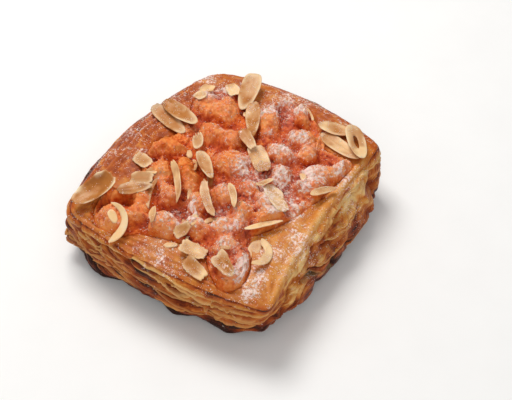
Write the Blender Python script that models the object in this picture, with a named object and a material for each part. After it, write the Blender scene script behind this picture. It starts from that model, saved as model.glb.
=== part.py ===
"""Square laminated pastry, baked with an orange almond-paste cross and topped with flaked almonds.

The dough is a loft through three plan outlines (foot, belly and rim) with its folded panels and a
recess in the top. The paste fills the recess as one lumpy slab. Each almond flake is a thin cupped
plate that is lowered until it rests on what lies beneath it. Lengths are in millimetres until
`metres` turns them into Blender's units.
"""

import math

import bmesh
import bpy
import numpy as np
from mathutils import Matrix, Vector
from mathutils.bvhtree import BVHTree
from mathutils.geometry import delaunay_2d_cdt

MILLIMETRE = 0.001
OBJECT_NAME = "danish_pastry"
RAY_REACH = 1.0

# Dough: heights above the surface it stands on.
BELLY_HEIGHT = 10.0
RECESS_FLOOR = 25.0
PANEL_HEIGHT = 35.0
PANEL_CROWN = 0.8
PANEL_RISE = 16.0
RIM_ROUNDING = 1.2
RIM_SHELF = 2.5
RIM_EASING = 12
RIM_EASING_STEP = 3
RIM_HEIGHTS = {  # at corners and at the middle of each side, by direction in degrees
    0: 35.0, 47: 33.5, 90: 33.0, 130: 31.5, 180: 31.0, 228: 31.5, 272: 33.0, 318: 31.0,
}

# Dough: plan outlines as corners (x, y, rounding), left, far, right and front, with the bow of
# the side that follows each corner (positive bulges out).
RIM_OUTLINE = (
    ((-50, -60, 9), 11), ((-49, 58, 12), 8), ((50, 59, 5), -4), ((62, -54, 4), 6),
)
BELLY_OUTLINE = (
    ((-54, -60, 18), 7), ((-56, 60, 16), 7), ((52, 58, 12), 7), ((55, -51, 15), 8),
)
FOOT_OUTLINE = (
    ((-48, -52, 20), 6), ((-50, 54, 18), 6), ((47, 51, 16), 5), ((47, -44, 17), 8),
)
OUTLINE_SAMPLES = 90
UPPER_SIDE_CURVE = 1.4
SIDE_LEVELS = (0.0, 0.06, 0.13, 0.22, 0.31, 0.4, 0.49, 0.58, 0.66, 0.74, 0.82, 0.9, 0.96)

# Dough: the folded layers stand out of the side as wavy ledges.
LAYER_RELIEF = 1.1
LAYER_WAVES = 5
LAYER_WAVE_SHARE = 0.55
LAYER_WAVE_SHIFT = 1.7
SPOKES = 112
CORNER_CROWDING = 1.1
CORNER_CROWDING_WIDTH = 0.2
FINE_DIRECTIONS = 1441
PANEL_RINGS = (0.0, 0.14, 0.4, 0.7, 1.0)
SEAM_DEPTH = 1.6
SEAM_HALF_WIDTH = 3.0
SEAM_LENGTH = 12.0

# Crust lobes that swell out of the foot: direction in degrees, reach and half-angle.
FOOT_LOBES = ((244, 7.0, 9), (281, 2.0, 7), (308, 3.0, 7), (335, 2.0, 6), (20, 2.0, 9))
FOOT_LOBE_HEIGHT = 6.0

# Paste: plan outline of the cross, and the lumps it is made of.
PASTE_OUTLINE = (
    (-37, -56), (-41, -49), (-36, -41), (-30, -32), (-34, -23), (-39, -12), (-42, -2), (-36, 4),
    (-35, 17), (-43, 28), (-44, 39), (-36, 46), (-27, 48), (-18, 43), (-9, 38), (-8, 47),
    (-4, 57), (7, 58), (19, 51), (26, 43), (31, 39), (40, 39), (47, 39), (47, 32), (45, 19),
    (43, 3), (40, -9), (35, -18), (31, -26), (37, -33), (43, -42), (44, -49), (41, -55),
    (36, -58), (30, -55), (23, -47), (14, -45), (2, -48), (-11, -53), (-17, -58), (-23, -61),
    (-30, -60),
)
PASTE_GRID = 3.3
PASTE_GRID_STEPS = 20
PASTE_ROW_SPACING = PASTE_GRID * math.sqrt(0.75)
PASTE_EDGE_SPARE = 0.6 * PASTE_GRID
PASTE_CREST = 43.5
PASTE_FALL = 4.0
PASTE_REACH = 62.0
LUMP_RELIEF = 5.0
EDGE_STEP = 0.4
GAP = 0.3

# Lumps: x, y, half-length, half-width and direction of the long axis in degrees.
PASTE_LUMPS = (
    (-26, -53, 9, 8, 0), (-18, -46, 7, 6, 40), (-4, -44, 8, 7, 20), (-34, -43, 6, 4, 30),
    (-22, -38, 6, 4, 20), (-31, -7, 9, 6, 35), (-13, -15, 12, 5, -45), (-23, -21, 10, 5, -50),
    (-12, -30, 7, 5, -50), (2, -28, 8, 5, -50), (-34, 29, 10, 7, -50), (-24, 32, 10, 6, -55),
    (-20, 14, 7, 6, 0), (-9, 15, 6, 6, 0), (0, 3, 9, 8, 20), (-2, 37, 11, 6, -60),
    (9, 50, 9, 4, -45), (-5, 51, 6, 4, 30), (18, 36, 8, 6, 30), (16, 21, 8, 6, 0),
    (26, 29, 6, 6, 0), (38, 22, 11, 6, 35), (45, 32, 6, 6, 0), (38, 12, 8, 5, 35),
    (24, 10, 6, 6, 0), (9, -16, 7, 6, -50), (17, -7, 6, 6, 0), (22, -18, 6, 6, 0),
    (27, -9, 7, 5, -50), (22, -29, 9, 6, 35), (33, -14, 8, 5, 60), (9, -37, 7, 6, 0),
    (27, -38, 8, 6, 35), (31, -47, 6, 4, -55), (37, -41, 7, 4, -55), (38, -49, 6, 5, 20),
)

# Almond flakes. The thickness shares are halves of the thickness at the edge and further in.
FLAKE_THICKNESS = 0.9
FLAKE_EDGE_SHARE = 0.3
FLAKE_MIDDLE_SHARE = 0.5
FLAKE_CLEARANCE = 0.35
FLAKE_POINTS = 12
FLAKE_MIDDLE_LOOP = 0.6
FLAKE_TAPER = 0.22
FLAKE_CUP = 0.07
FLAKE_BEND = 0.04
FOOTPRINT_SHARE = 0.4
FOOTPRINT_PROBES = (7, 5)
HELD_ABOVE = 50.0

# name: x, y, heading, length, width, roll, pitch. Heading is the long axis in plan; roll turns
# the flake about that axis and pitch lifts its tip, both from the slope it rests on.
FLAKES = {
    "flake_cupped_left": (-42, -47, 246, 23, 12, -14, -4),
    "flake_crescent_left": (-25, -57, 25, 19, 19, 0, 0),
    "flake_corner_square": (-29, -28, 18, 13, 7, 10, 0),
    "flake_thin_leaf": (-26, -37, 42, 17, 8, 18, 0),
    "flake_stub_left": (-37, -18, -16, 12, 7, 0, 0),
    "flake_brown_far_left": (-44, 11, -17, 27, 8, 12, 0),
    "flake_golden_far_left": (-40, 16, -15, 27, 8, 20, 4),
    "flake_broken_upright": (-21, 5, 131, 12, 6, -15, -15),
    "flake_oval_centre": (-8, -7, -39, 22, 7, -18, 8),
    "flake_pale_finger": (-12, -23, -47, 26, 5, 40, 0),
    "flake_far_leaning": (-21, 47, -71, 25, 10, 8, -12),
    "flake_far_lower": (-7, 31, -55, 26, 8, 15, 0),
    "flake_far_chunk": (-30, 46, -39, 11, 7, 0, 0),
    "flake_far_crust": (-38, 30, -28, 10, 6, 0, 0),
    "flake_square_middle": (10, 12, -40, 17, 9, 0, 0),
    "flake_pale_wedge": (-1, 18, -29, 14, 6, 15, 0),
    "flake_sugared_large": (31, -5, -36, 20, 10, 0, 0),
    "flake_long_curved": (6, -24, -41, 23, 5, 25, 0),
    "flake_ridge_sliver": (45, 13, 63, 15, 4, -35, 0),
    "flake_edge_long": (34, -20, 55, 19, 3, -50, 0),
    "flake_right_under": (35, 44, -12, 25, 8, 0, 0),
    "flake_right_upper": (28, 52, 14, 19, 8, 0, 0),
    "flake_right_ring": (41, 49, -45, 22, 10, 0, 0),
    "flake_front_irregular": (16, -48, 10, 13, 8, 0, 0),
    "flake_front_tan": (22, -55, -8, 13, 7, 0, 0),
    "flake_front_translucent": (34, -49, -22, 15, 8, 0, 5),
    "flake_horseshoe": (40, -33, 17, 14, 17, 0, 0),
    "flake_far_small": (-41, 39, 10, 9, 6, 0, 0),
    "flake_thin_edge": (15, -16, -45, 15, 4, 50, 0),
    "flake_centre_bar": (22, -1, 76, 10, 4, 10, 0),
    "flake_left_sliver": (-9, -45, -50, 11, 5, 25, 0),
    "flake_inner_block": (6, -43, 57, 9, 6, 0, 0),
}

# Flakes with a hole: its share of the length and of the width.
RING_FLAKES = {"flake_right_ring": (0.42, 0.28)}

# Flakes bent round an opening: first and last direction of the arc in degrees, and the inner
# edge's share of the length and of the width.
OPEN_FLAKES = {
    "flake_horseshoe": (-95, 95, 0.55, 0.62),
    "flake_crescent_left": (-85, 85, 0.7, 0.7),
}

DOUGH_COLOUR = (0.42, 0.19, 0.06, 1.0)
PASTE_COLOUR = (0.52, 0.13, 0.03, 1.0)
FLAKE_COLOUR = (0.56, 0.31, 0.12, 1.0)
DOUGH_ROUGHNESS = 0.4
PASTE_ROUGHNESS = 0.8
FLAKE_ROUGHNESS = 0.55


def metres(points):
    """Turn millimetre points into metres."""
    return [Vector(point) * MILLIMETRE for point in points]


def make_material(name, colour, roughness):
    """Return a plain Principled material."""
    material = bpy.data.materials.new(name)
    material.use_nodes = True
    shader = material.node_tree.nodes["Principled BSDF"]
    shader.inputs["Base Color"].default_value = colour
    shader.inputs["Roughness"].default_value = roughness
    shader.inputs["Metallic"].default_value = 0.0
    return material


def make_object(name, points, faces, material, collection):
    """Build one closed mesh object from millimetre points and faces."""
    mesh = bpy.data.meshes.new(name)
    mesh.from_pydata(metres(points), [], faces)
    shape = bmesh.new()
    shape.from_mesh(mesh)
    bmesh.ops.recalc_face_normals(shape, faces=shape.faces)
    bmesh.ops.triangulate(shape, faces=shape.faces)
    shape.to_mesh(mesh)
    shape.free()
    mesh.materials.append(material)
    thing = bpy.data.objects.new(name, mesh)
    collection.objects.link(thing)
    return thing


def rounded_outline(corners_and_bows):
    """Return a plan outline as points: bowed sides, softened at the corners."""
    count = len(corners_and_bows)
    points = []
    softness = []
    for index in range(count):
        (x0, y0, round0), bow = corners_and_bows[index]
        (x1, y1, round1), _ = corners_and_bows[(index + 1) % count]
        length = math.hypot(x1 - x0, y1 - y0)
        outward = (-(y1 - y0) / length, (x1 - x0) / length)
        for step in range(OUTLINE_SAMPLES):
            t = step / OUTLINE_SAMPLES
            swell = 4 * bow * t * (1 - t)
            points.append((x0 + (x1 - x0) * t + outward[0] * swell,
                           y0 + (y1 - y0) * t + outward[1] * swell))
            softness.append((round0 * (1 - t) + round1 * t) * OUTLINE_SAMPLES / length)
    points = np.array(points)
    total = len(points)
    smooth = np.empty_like(points)
    for index, reach in enumerate(softness):
        around = np.arange(-int(reach), int(reach) + 1)
        weight = np.cos(around / (reach + 1) * math.pi / 2)
        smooth[index] = (points[(index + around) % total] * weight[:, None]).sum(0) / weight.sum()
    return smooth


def radius_at(outline, directions):
    """Return an outline's radius in each direction (radians) seen from the centre."""
    angle = np.arctan2(outline[:, 1], outline[:, 0])
    radius = np.hypot(outline[:, 0], outline[:, 1])
    order = np.argsort(angle)
    return np.interp(directions, angle[order], radius[order], period=2 * math.pi)


def rim_height_at(directions):
    """Return the rim's height in each direction, eased between the named heights."""
    marks = np.radians(list(RIM_HEIGHTS))
    heights = np.array(list(RIM_HEIGHTS.values()))
    spread = np.radians(np.arange(-RIM_EASING, RIM_EASING + 1, RIM_EASING_STEP))
    eased = [np.interp(directions + turn, marks, heights, period=2 * math.pi) for turn in spread]
    return np.mean(eased, axis=0)


def corner_directions():
    """Return the directions of the rim's corners in radians."""
    return [math.atan2(y, x) for (x, y, _), _ in RIM_OUTLINE]


def angle_between(first, second):
    """Return the smallest turn between two directions."""
    return np.abs((first - second + math.pi) % (2 * math.pi) - math.pi)


def spoke_directions():
    """Return the loft's directions, crowded near the corners."""
    fine = np.linspace(-math.pi, math.pi, FINE_DIRECTIONS)
    density = np.ones_like(fine)
    for corner in corner_directions():
        off = angle_between(fine, corner) / CORNER_CROWDING_WIDTH
        density += CORNER_CROWDING * np.exp(-off ** 2)
    travelled = np.concatenate([[0], np.cumsum((density[1:] + density[:-1]) / 2)])
    return np.interp(np.arange(SPOKES) / SPOKES * travelled[-1], travelled, fine)


def lobe_reach(directions):
    """Return how far the crust lobes swell out of the foot in each direction."""
    reach = np.zeros_like(directions)
    for centre, size, half_angle in FOOT_LOBES:
        off = angle_between(directions, math.radians(centre)) / math.radians(half_angle)
        reach += size * np.clip(1 - off ** 2, 0, None)
    return reach


def side_profile(level, directions, rim_heights):
    """Return radius and height of the side at a level from 0 (surface) to 1 (rim)."""
    foot = radius_at(rounded_outline(FOOT_OUTLINE), directions)
    belly = radius_at(rounded_outline(BELLY_OUTLINE), directions)
    rim = radius_at(rounded_outline(RIM_OUTLINE), directions)
    height = level * rim_heights
    below = np.clip(1 - height / BELLY_HEIGHT, 0, 1)
    above = np.clip((height - BELLY_HEIGHT) / (rim_heights - BELLY_HEIGHT), 0, 1)
    lower = foot + (belly - foot) * np.sqrt(1 - below ** 2)
    upper = belly + (rim - belly) * above ** UPPER_SIDE_CURVE
    radius = np.where(height < BELLY_HEIGHT, lower, upper)
    lobe_share = np.clip(1 - height / FOOT_LOBE_HEIGHT, 0, 1)
    return radius + lobe_reach(directions) * lobe_share, height


def paste_radius(directions):
    """Return the paste's reach in each direction, which always leaves a shelf inside the rim."""
    reach = radius_at(np.array(PASTE_OUTLINE, dtype=float), directions)
    return np.minimum(reach, rim_radius_at(directions) - RIM_SHELF)


def ring_points(radius, directions, height):
    """Return one ring of the loft as points."""
    height = np.broadcast_to(height, radius.shape)
    return np.stack([radius * np.cos(directions), radius * np.sin(directions), height], axis=1)


def panel_height(inset, rim_heights):
    """Return a panel's height at a distance inside the rim: it rises to the paste and is crowned."""
    fraction = np.clip(inset / PANEL_RISE, 0, 1)
    rise = (PANEL_HEIGHT - rim_heights) * fraction * (2 - fraction)
    return rim_heights + rise + PANEL_CROWN * np.sin(math.pi * fraction)


def seam_depth(directions, radius, inset):
    """Return how deep the seams between the folded panels dip, close inside the rim's corners."""
    depth = np.zeros_like(directions)
    for corner in corner_directions():
        off = angle_between(directions, corner) * radius / SEAM_HALF_WIDTH
        depth += SEAM_DEPTH * np.exp(-off ** 2)
    return depth * np.sin(math.pi * np.clip(inset / SEAM_LENGTH, 0, 1))


def rim_radius_at(directions):
    """Return the radius of the rim's upper edge."""
    return radius_at(rounded_outline(RIM_OUTLINE), directions) - RIM_ROUNDING


def layer_ledge(row, directions):
    """Return how far a row of the side stands out: odd rows are layer edges, even rows gaps."""
    wave = LAYER_WAVE_SHARE * np.sin(LAYER_WAVES * directions + LAYER_WAVE_SHIFT * row)
    return LAYER_RELIEF * (0.5 if row % 2 else -0.5) * (1 + wave)


def build_dough(material, collection):
    """Loft the dough from its foot over the rim to the recess that holds the paste."""
    directions = spoke_directions()
    rims = rim_height_at(directions)
    rings = []
    for row, level in enumerate(SIDE_LEVELS):
        radius, height = side_profile(level, directions, rims)
        if 0 < row < len(SIDE_LEVELS) - 1:
            radius = radius + layer_ledge(row, directions)
        rings.append(ring_points(radius, directions, height))

    rim_radius = rim_radius_at(directions)
    recess_radius = paste_radius(directions) + GAP
    for fraction in PANEL_RINGS:
        radius = rim_radius + (recess_radius - rim_radius) * fraction
        inset = rim_radius - radius
        height = panel_height(inset, rims) - seam_depth(directions, radius, inset)
        rings.append(ring_points(radius, directions, height))
    rings.append(ring_points(recess_radius, directions, RECESS_FLOOR))

    points = np.concatenate(rings)
    faces = [tuple(range(SPOKES))]
    for ring in range(len(rings) - 1):
        for spoke in range(SPOKES):
            after = (spoke + 1) % SPOKES
            low, high = ring * SPOKES, (ring + 1) * SPOKES
            faces.append((low + spoke, low + after, high + after, high + spoke))
    last = (len(rings) - 1) * SPOKES
    faces.append(tuple(range(last, last + SPOKES)))
    return make_object("dough", points, faces, material, collection)


def paste_height(x, y):
    """Return the height of the paste's lumpy top."""
    fall = np.hypot(x, y) / PASTE_REACH
    bed = PASTE_CREST - LUMP_RELIEF - PASTE_FALL * fall ** 2
    lump = np.zeros_like(bed)
    for centre_x, centre_y, long, wide, turn in PASTE_LUMPS:
        cosine, sine = math.cos(math.radians(turn)), math.sin(math.radians(turn))
        along = ((x - centre_x) * cosine + (y - centre_y) * sine) / long
        across = ((y - centre_y) * cosine - (x - centre_x) * sine) / wide
        lump = np.maximum(lump, np.sqrt(np.clip(1 - along ** 2 - across ** 2, 0, 1)))
    return bed + LUMP_RELIEF * lump


def build_paste(material, collection):
    """Build the paste as a slab with a flat underside and a lumpy top."""
    directions = spoke_directions()
    reach = paste_radius(directions)
    edge = np.stack([reach * np.cos(directions), reach * np.sin(directions)], axis=1)
    steps = np.arange(-PASTE_GRID_STEPS, PASTE_GRID_STEPS + 1)
    column, row = np.meshgrid(steps, steps)
    grid_x = (column + 0.5 * (row % 2)) * PASTE_GRID
    grid_y = row * PASTE_ROW_SPACING
    inside = np.stack([grid_x.ravel(), grid_y.ravel()], axis=1)
    limit = paste_radius(np.arctan2(inside[:, 1], inside[:, 0]))
    inside = inside[np.hypot(inside[:, 0], inside[:, 1]) < limit - PASTE_EDGE_SPARE]
    plan = [Vector(point) for point in np.concatenate([edge, inside])]
    loop = [list(range(SPOKES))]
    plan, _, triangles, _, _, _ = delaunay_2d_cdt(plan, [], loop, 1, 1e-4)
    plan = np.array([tuple(point) for point in plan])
    x, y = plan[:, 0], plan[:, 1]
    top_height = paste_height(x, y)
    inset = rim_radius_at(directions) - reach
    top_height[:SPOKES] = panel_height(inset, rim_height_at(directions)) + EDGE_STEP
    points = [(px, py, pz) for px, py, pz in zip(x, y, top_height)]
    under = len(points)
    points += [(px, py, RECESS_FLOOR + GAP) for px, py in plan[:SPOKES]]
    faces = [tuple(triangle) for triangle in triangles]
    for spoke in range(SPOKES):
        after = (spoke + 1) % SPOKES
        faces.append((spoke, under + spoke, under + after, after))
    faces.append(tuple(under + spoke for spoke in reversed(range(SPOKES))))
    return make_object("paste", points, faces, material, collection)


def flake_outline(name, length, width):
    """Return a flake's outer outline and, for a ring or an open flake, its inner one."""
    if name in OPEN_FLAKES:
        first, last, long_share, wide_share = OPEN_FLAKES[name]
        sweep = np.radians(np.linspace(first, last, FLAKE_POINTS))
        arc = np.stack([np.cos(sweep) * length / 2, np.sin(sweep) * width / 2], axis=1)
        return arc, arc * np.array([long_share, wide_share])
    turn = np.arange(FLAKE_POINTS) / FLAKE_POINTS * 2 * math.pi
    along = np.cos(turn)
    taper = 1 - FLAKE_TAPER * along
    outer = np.stack([along * length / 2, np.sin(turn) * taper * width / 2], axis=1)
    if name in RING_FLAKES:
        return outer, outer * np.array(RING_FLAKES[name])
    return outer, None


def flake_sag(plan, length, width):
    """Return the height of a flake's middle surface: cupped across and bent along."""
    across = (plan[:, 1] / (width / 2)) ** 2
    along = (plan[:, 0] / (length / 2)) ** 2
    return FLAKE_CUP * width * across + FLAKE_BEND * length * along


def flake_shell(name, length, width):
    """Return points and faces of a thin flake lying flat at the centre."""
    outer, inner = flake_outline(name, length, width)
    closed = name not in OPEN_FLAKES
    loops = [outer, outer * FLAKE_MIDDLE_LOOP]
    shares = [FLAKE_EDGE_SHARE, FLAKE_MIDDLE_SHARE]
    if inner is not None:
        loops = [outer, (outer + inner) / 2, inner]
        shares.append(FLAKE_EDGE_SHARE)
    sides = []
    for sign in (-1, 1):
        for plan, share in zip(loops, shares):
            height = flake_sag(plan, length, width) + sign * share * FLAKE_THICKNESS
            sides.append(np.column_stack([plan, height]))
        if inner is None:
            sides.append(np.array([[0.0, 0.0, sign * FLAKE_MIDDLE_SHARE * FLAKE_THICKNESS]]))
    points = np.concatenate(sides)
    per_side = len(points) // 2
    spans = FLAKE_POINTS if closed else FLAKE_POINTS - 1
    faces = []
    for side in (0, per_side):
        for loop in range(len(loops) - 1):
            for index in range(spans):
                after = (index + 1) % FLAKE_POINTS
                first = side + loop * FLAKE_POINTS
                second = first + FLAKE_POINTS
                faces.append((first + index, first + after, second + after, second + index))
        if inner is None:
            tip = side + per_side - 1
            ring = side + FLAKE_POINTS
            faces += [(ring + index, ring + (index + 1) % FLAKE_POINTS, tip)
                      for index in range(FLAKE_POINTS)]
    edges = [0] if inner is None else [0, 2 * FLAKE_POINTS]
    for first in edges:
        for index in range(spans):
            after = (index + 1) % FLAKE_POINTS
            faces.append((first + index, first + after,
                          per_side + first + after, per_side + first + index))
    if not closed:
        for end in (0, FLAKE_POINTS - 1):
            lower = [end + loop * FLAKE_POINTS for loop in range(3)]
            faces.append(tuple(lower + [per_side + point for point in reversed(lower)]))
    return points, faces


def ray_tree(thing):
    """Return a tree of an object's faces that rays can be cast at."""
    shape = bmesh.new()
    shape.from_mesh(thing.data)
    tree = BVHTree.FromBMesh(shape)
    shape.free()
    return tree


def surface_probes(thing):
    """Return points spread over an object's mesh: its vertices, edge middles and face middles."""
    mesh = thing.data
    points = [vertex.co.copy() for vertex in mesh.vertices]
    points += [(points[edge.vertices[0]] + points[edge.vertices[1]]) / 2 for edge in mesh.edges]
    points += [polygon.center.copy() for polygon in mesh.polygons]
    return points


def surface_height(trees, x, y, default):
    """Return the height of the highest surface under a point, in metres."""
    best = default
    for tree in trees:
        hit = tree.ray_cast(Vector((x, y, RAY_REACH)), Vector((0, 0, -1)))[0]
        if hit is not None:
            best = max(best, hit.z)
    return best


def resting_slope(trees, x, y, heading, length, width):
    """Return the slope along and across a flake's footprint on the top, and its mean height."""
    rows = []
    heights = []
    alongs = np.linspace(-FOOTPRINT_SHARE, FOOTPRINT_SHARE, FOOTPRINT_PROBES[0])
    acrosses = np.linspace(-FOOTPRINT_SHARE, FOOTPRINT_SHARE, FOOTPRINT_PROBES[1])
    for along in alongs * length * MILLIMETRE:
        for across in acrosses * width * MILLIMETRE:
            px = x + along * math.cos(heading) - across * math.sin(heading)
            py = y + along * math.sin(heading) + across * math.cos(heading)
            height = surface_height(trees, px, py, 0.0)
            if height > RECESS_FLOOR * MILLIMETRE:
                rows.append((1.0, along, across))
                heights.append(height)
    fit = np.linalg.lstsq(np.array(rows), np.array(heights), rcond=None)[0]
    return fit[1], fit[2], fit[0]


def flake_pose(trees, placing):
    """Return a flake's rotation and plan place over the slope it rests on."""
    x, y, heading, length, width, roll, pitch = placing
    turn = math.radians(heading)
    along, across, height = resting_slope(trees, x * MILLIMETRE, y * MILLIMETRE, turn, length, width)
    tilt = Matrix.Rotation(math.radians(roll) + math.atan(across), 4, "X")
    lift = Matrix.Rotation(-math.radians(pitch) - math.atan(along), 4, "Y")
    place = Matrix.Translation((x * MILLIMETRE, y * MILLIMETRE, height + HELD_ABOVE * MILLIMETRE))
    return place @ Matrix.Rotation(turn, 4, "Z") @ lift @ tilt


def fall_distance(flake, trees, obstacles):
    """Return how far a flake can drop before it comes within the clearance of anything."""
    tree = ray_tree(flake)
    probes = surface_probes(flake)
    low = [min(probe[axis] for probe in probes) for axis in (0, 1)]
    high = [max(probe[axis] for probe in probes) for axis in (0, 1)]
    fall = min(probe.z - surface_height(trees, probe.x, probe.y, 0.0) for probe in probes)
    for obstacle in obstacles:
        for point in obstacle:
            if not (low[0] < point.x < high[0] and low[1] < point.y < high[1]):
                continue
            hit = tree.ray_cast(Vector((point.x, point.y, -RAY_REACH)), Vector((0, 0, 1)))[0]
            if hit is not None:
                fall = min(fall, hit.z - point.z)
    return fall - FLAKE_CLEARANCE * MILLIMETRE


def build_flakes(ground, material, collection):
    """Lay the almond flakes one after another on the ground objects and on each other."""
    trees = [ray_tree(thing) for thing in ground]
    obstacles = [surface_probes(thing) for thing in ground]
    flakes = []
    for name, placing in FLAKES.items():
        points, faces = flake_shell(name, placing[3], placing[4])
        flake = make_object(name, points, faces, material, collection)
        flake.data.transform(flake_pose(trees, placing))
        fall = fall_distance(flake, trees, obstacles)
        flake.data.transform(Matrix.Translation((0, 0, -fall)))
        trees.append(ray_tree(flake))
        obstacles.append(surface_probes(flake))
        flakes.append(flake)
    return flakes


def centre_on_origin(things):
    """Shift everything in plan so that the whole box is centred over the origin."""
    corners = [vertex.co for thing in things for vertex in thing.data.vertices]
    middle = [(min(c[axis] for c in corners) + max(c[axis] for c in corners)) / 2 for axis in (0, 1)]
    for thing in things:
        thing.data.transform(Matrix.Translation((-middle[0], -middle[1], 0)))


def main():
    """Build the pastry."""
    for thing in list(bpy.data.objects):
        bpy.data.objects.remove(thing, do_unlink=True)
    collection = bpy.data.collections.new(OBJECT_NAME)
    bpy.context.scene.collection.children.link(collection)
    dough = build_dough(make_material("dough", DOUGH_COLOUR, DOUGH_ROUGHNESS), collection)
    paste = build_paste(make_material("paste", PASTE_COLOUR, PASTE_ROUGHNESS), collection)
    almond = make_material("flake", FLAKE_COLOUR, FLAKE_ROUGHNESS)
    flakes = build_flakes([dough, paste], almond, collection)
    centre_on_origin([dough, paste] + flakes)


main()
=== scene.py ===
"""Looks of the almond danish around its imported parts.

The crust, its flaky leaves, the almond paste, the almond flakes and slivers and the icing sugar are
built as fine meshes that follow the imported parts. Lengths are in metres, and `MM` turns the
millimetres of the tables into metres. Directions are in degrees in plan, from +X towards +Y.
"""

import sys
import itertools
import logging
import math
from dataclasses import dataclass, field
from enum import Enum

import bpy
import numpy as np
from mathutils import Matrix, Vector
from mathutils.bvhtree import BVHTree


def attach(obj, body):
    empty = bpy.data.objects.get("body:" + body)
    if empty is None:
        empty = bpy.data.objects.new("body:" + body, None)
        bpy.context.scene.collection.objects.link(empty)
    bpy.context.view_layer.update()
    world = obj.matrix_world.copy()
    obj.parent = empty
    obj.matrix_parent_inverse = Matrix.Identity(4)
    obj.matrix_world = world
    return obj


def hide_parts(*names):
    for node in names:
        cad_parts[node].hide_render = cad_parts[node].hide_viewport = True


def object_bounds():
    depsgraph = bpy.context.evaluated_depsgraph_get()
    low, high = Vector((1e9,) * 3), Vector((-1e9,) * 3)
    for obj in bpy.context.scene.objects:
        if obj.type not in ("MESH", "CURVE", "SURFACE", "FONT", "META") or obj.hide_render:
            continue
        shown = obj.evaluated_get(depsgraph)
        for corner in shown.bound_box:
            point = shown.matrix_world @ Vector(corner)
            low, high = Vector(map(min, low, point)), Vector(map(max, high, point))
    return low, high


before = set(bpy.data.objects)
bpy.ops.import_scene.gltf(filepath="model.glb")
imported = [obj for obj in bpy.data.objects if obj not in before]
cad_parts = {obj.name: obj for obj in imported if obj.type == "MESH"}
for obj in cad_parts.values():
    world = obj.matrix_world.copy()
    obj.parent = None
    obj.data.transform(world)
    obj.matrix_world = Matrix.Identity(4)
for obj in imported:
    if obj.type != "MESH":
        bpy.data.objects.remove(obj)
CAD_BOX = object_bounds()

MM = 0.001
BODY = "root"
ABOVE = 0.1
EDGE_SPARE = 0.05 * MM
EDGE_EASE = 1.5 * MM
CAD_NODES = tuple(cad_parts)
log = logging.getLogger("danish")

Array = np.ndarray


# Noise and small curves


def lattice(cells: Array, seed: int) -> Array:
    """Give each whole-number cell a repeatable value.

    Args:
        cells: Whole-number coordinates, three to a row.
        seed: Which set of values to use.

    Returns:
        Values from -1 to 1.
    """
    key = cells[..., 0] * 73856093 ^ cells[..., 1] * 19349663 ^ cells[..., 2] * 83492791
    key = (key ^ (seed * 40503 + 977)) & 0xFFFFFFFF
    key = (key ^ (key >> 15)) * 2246822519 & 0xFFFFFFFF
    key = (key ^ (key >> 13)) * 3266489917 & 0xFFFFFFFF
    return (key >> 9 & 0xFFFF) / 32767.5 - 1.0


def noise(points: Array, size: float | tuple, seed: int = 0) -> Array:
    """Evaluate smooth noise.

    Args:
        points: Points, three coordinates to a row.
        size: Size of the features, one for all axes or one for each.
        seed: Which noise to use.

    Returns:
        Values from -1 to 1.
    """
    scaled = points / np.asarray(size, dtype=float)
    low = np.floor(scaled).astype(np.int64)
    part = scaled - low
    ease = part * part * (3 - 2 * part)
    total = np.zeros(points.shape[:-1])
    for corner in itertools.product((0, 1), repeat=3):
        weight = np.prod(np.where(np.array(corner) == 1, ease, 1 - ease), axis=-1)
        total += weight * lattice(low + np.array(corner), seed)
    return total


def layered_noise(points: Array, size: float, octaves: int, seed: int = 0) -> Array:
    """Add up noise at halving sizes.

    Args:
        points: Points, three coordinates to a row.
        size: Size of the largest features.
        octaves: How many sizes are added.
        seed: Which noise to use.

    Returns:
        Values from about -1 to 1.
    """
    total = np.zeros(points.shape[:-1])
    for octave in range(octaves):
        total += noise(points, size / 2 ** octave, seed + octave) / 2 ** octave
    return total / (2 - 2 ** (1 - octaves))


def pebbles(points: Array, size: float | tuple, seed: int = 0) -> tuple[Array, Array]:
    """Find the nearest of many scattered centres.

    Args:
        points: Points, three coordinates to a row.
        size: Spacing of the centres, one for all axes or one for each.
        seed: Which scatter to use.

    Returns:
        The distance to the nearest centre in spacings, and that centre's own value from -1 to 1.
    """
    scaled = points / np.asarray(size, dtype=float)
    low = np.floor(scaled).astype(np.int64)
    nearest = np.full(points.shape[:-1], 9.0)
    value = np.zeros(points.shape[:-1])
    for offset in itertools.product((-1, 0, 1), repeat=3):
        cell = low + np.array(offset)
        shift = np.stack([lattice(cell, seed + axis) for axis in range(3)], axis=-1)
        gap = np.linalg.norm(scaled - cell - 0.5 - 0.42 * shift, axis=-1)
        closer = gap < nearest
        value = np.where(closer, shift[..., 0], value)
        nearest = np.where(closer, gap, nearest)
    return nearest, value


def step_between(low: float, high: float, values: Array) -> Array:
    """Rise smoothly from 0 at `low` to 1 at `high`."""
    share = np.clip((values - low) / (high - low), 0, 1)
    return share * share * (3 - 2 * share)


def bell(values: Array, width: float) -> Array:
    """Return 1 where values are 0, falling to nothing a few widths away."""
    return np.exp(-(values / width) ** 2)


def blurred(values: Array, reach: float, axis: int, wrap: bool) -> Array:
    """Blur values along one axis.

    Args:
        values: Values on a grid.
        reach: Spread of the blur in grid steps.
        axis: The axis to blur along.
        wrap: Whether the axis closes on itself.

    Returns:
        The blurred values.
    """
    half = max(1, int(reach * 2.5))
    steps = np.arange(-half, half + 1)
    weights = np.exp(-0.5 * (steps / reach) ** 2)
    weights /= weights.sum()
    pads = [(0, 0)] * values.ndim
    pads[axis] = (half, half)
    padded = np.pad(values, pads, mode="wrap" if wrap else "edge")
    return np.apply_along_axis(lambda row: np.convolve(row, weights, "valid"), axis, padded)


def turn_between(angles: Array, direction: float) -> Array:
    """Return the smallest turn in degrees from angles in radians to a direction in degrees."""
    return np.abs((np.degrees(angles) - direction + 180) % 360 - 180)


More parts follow.
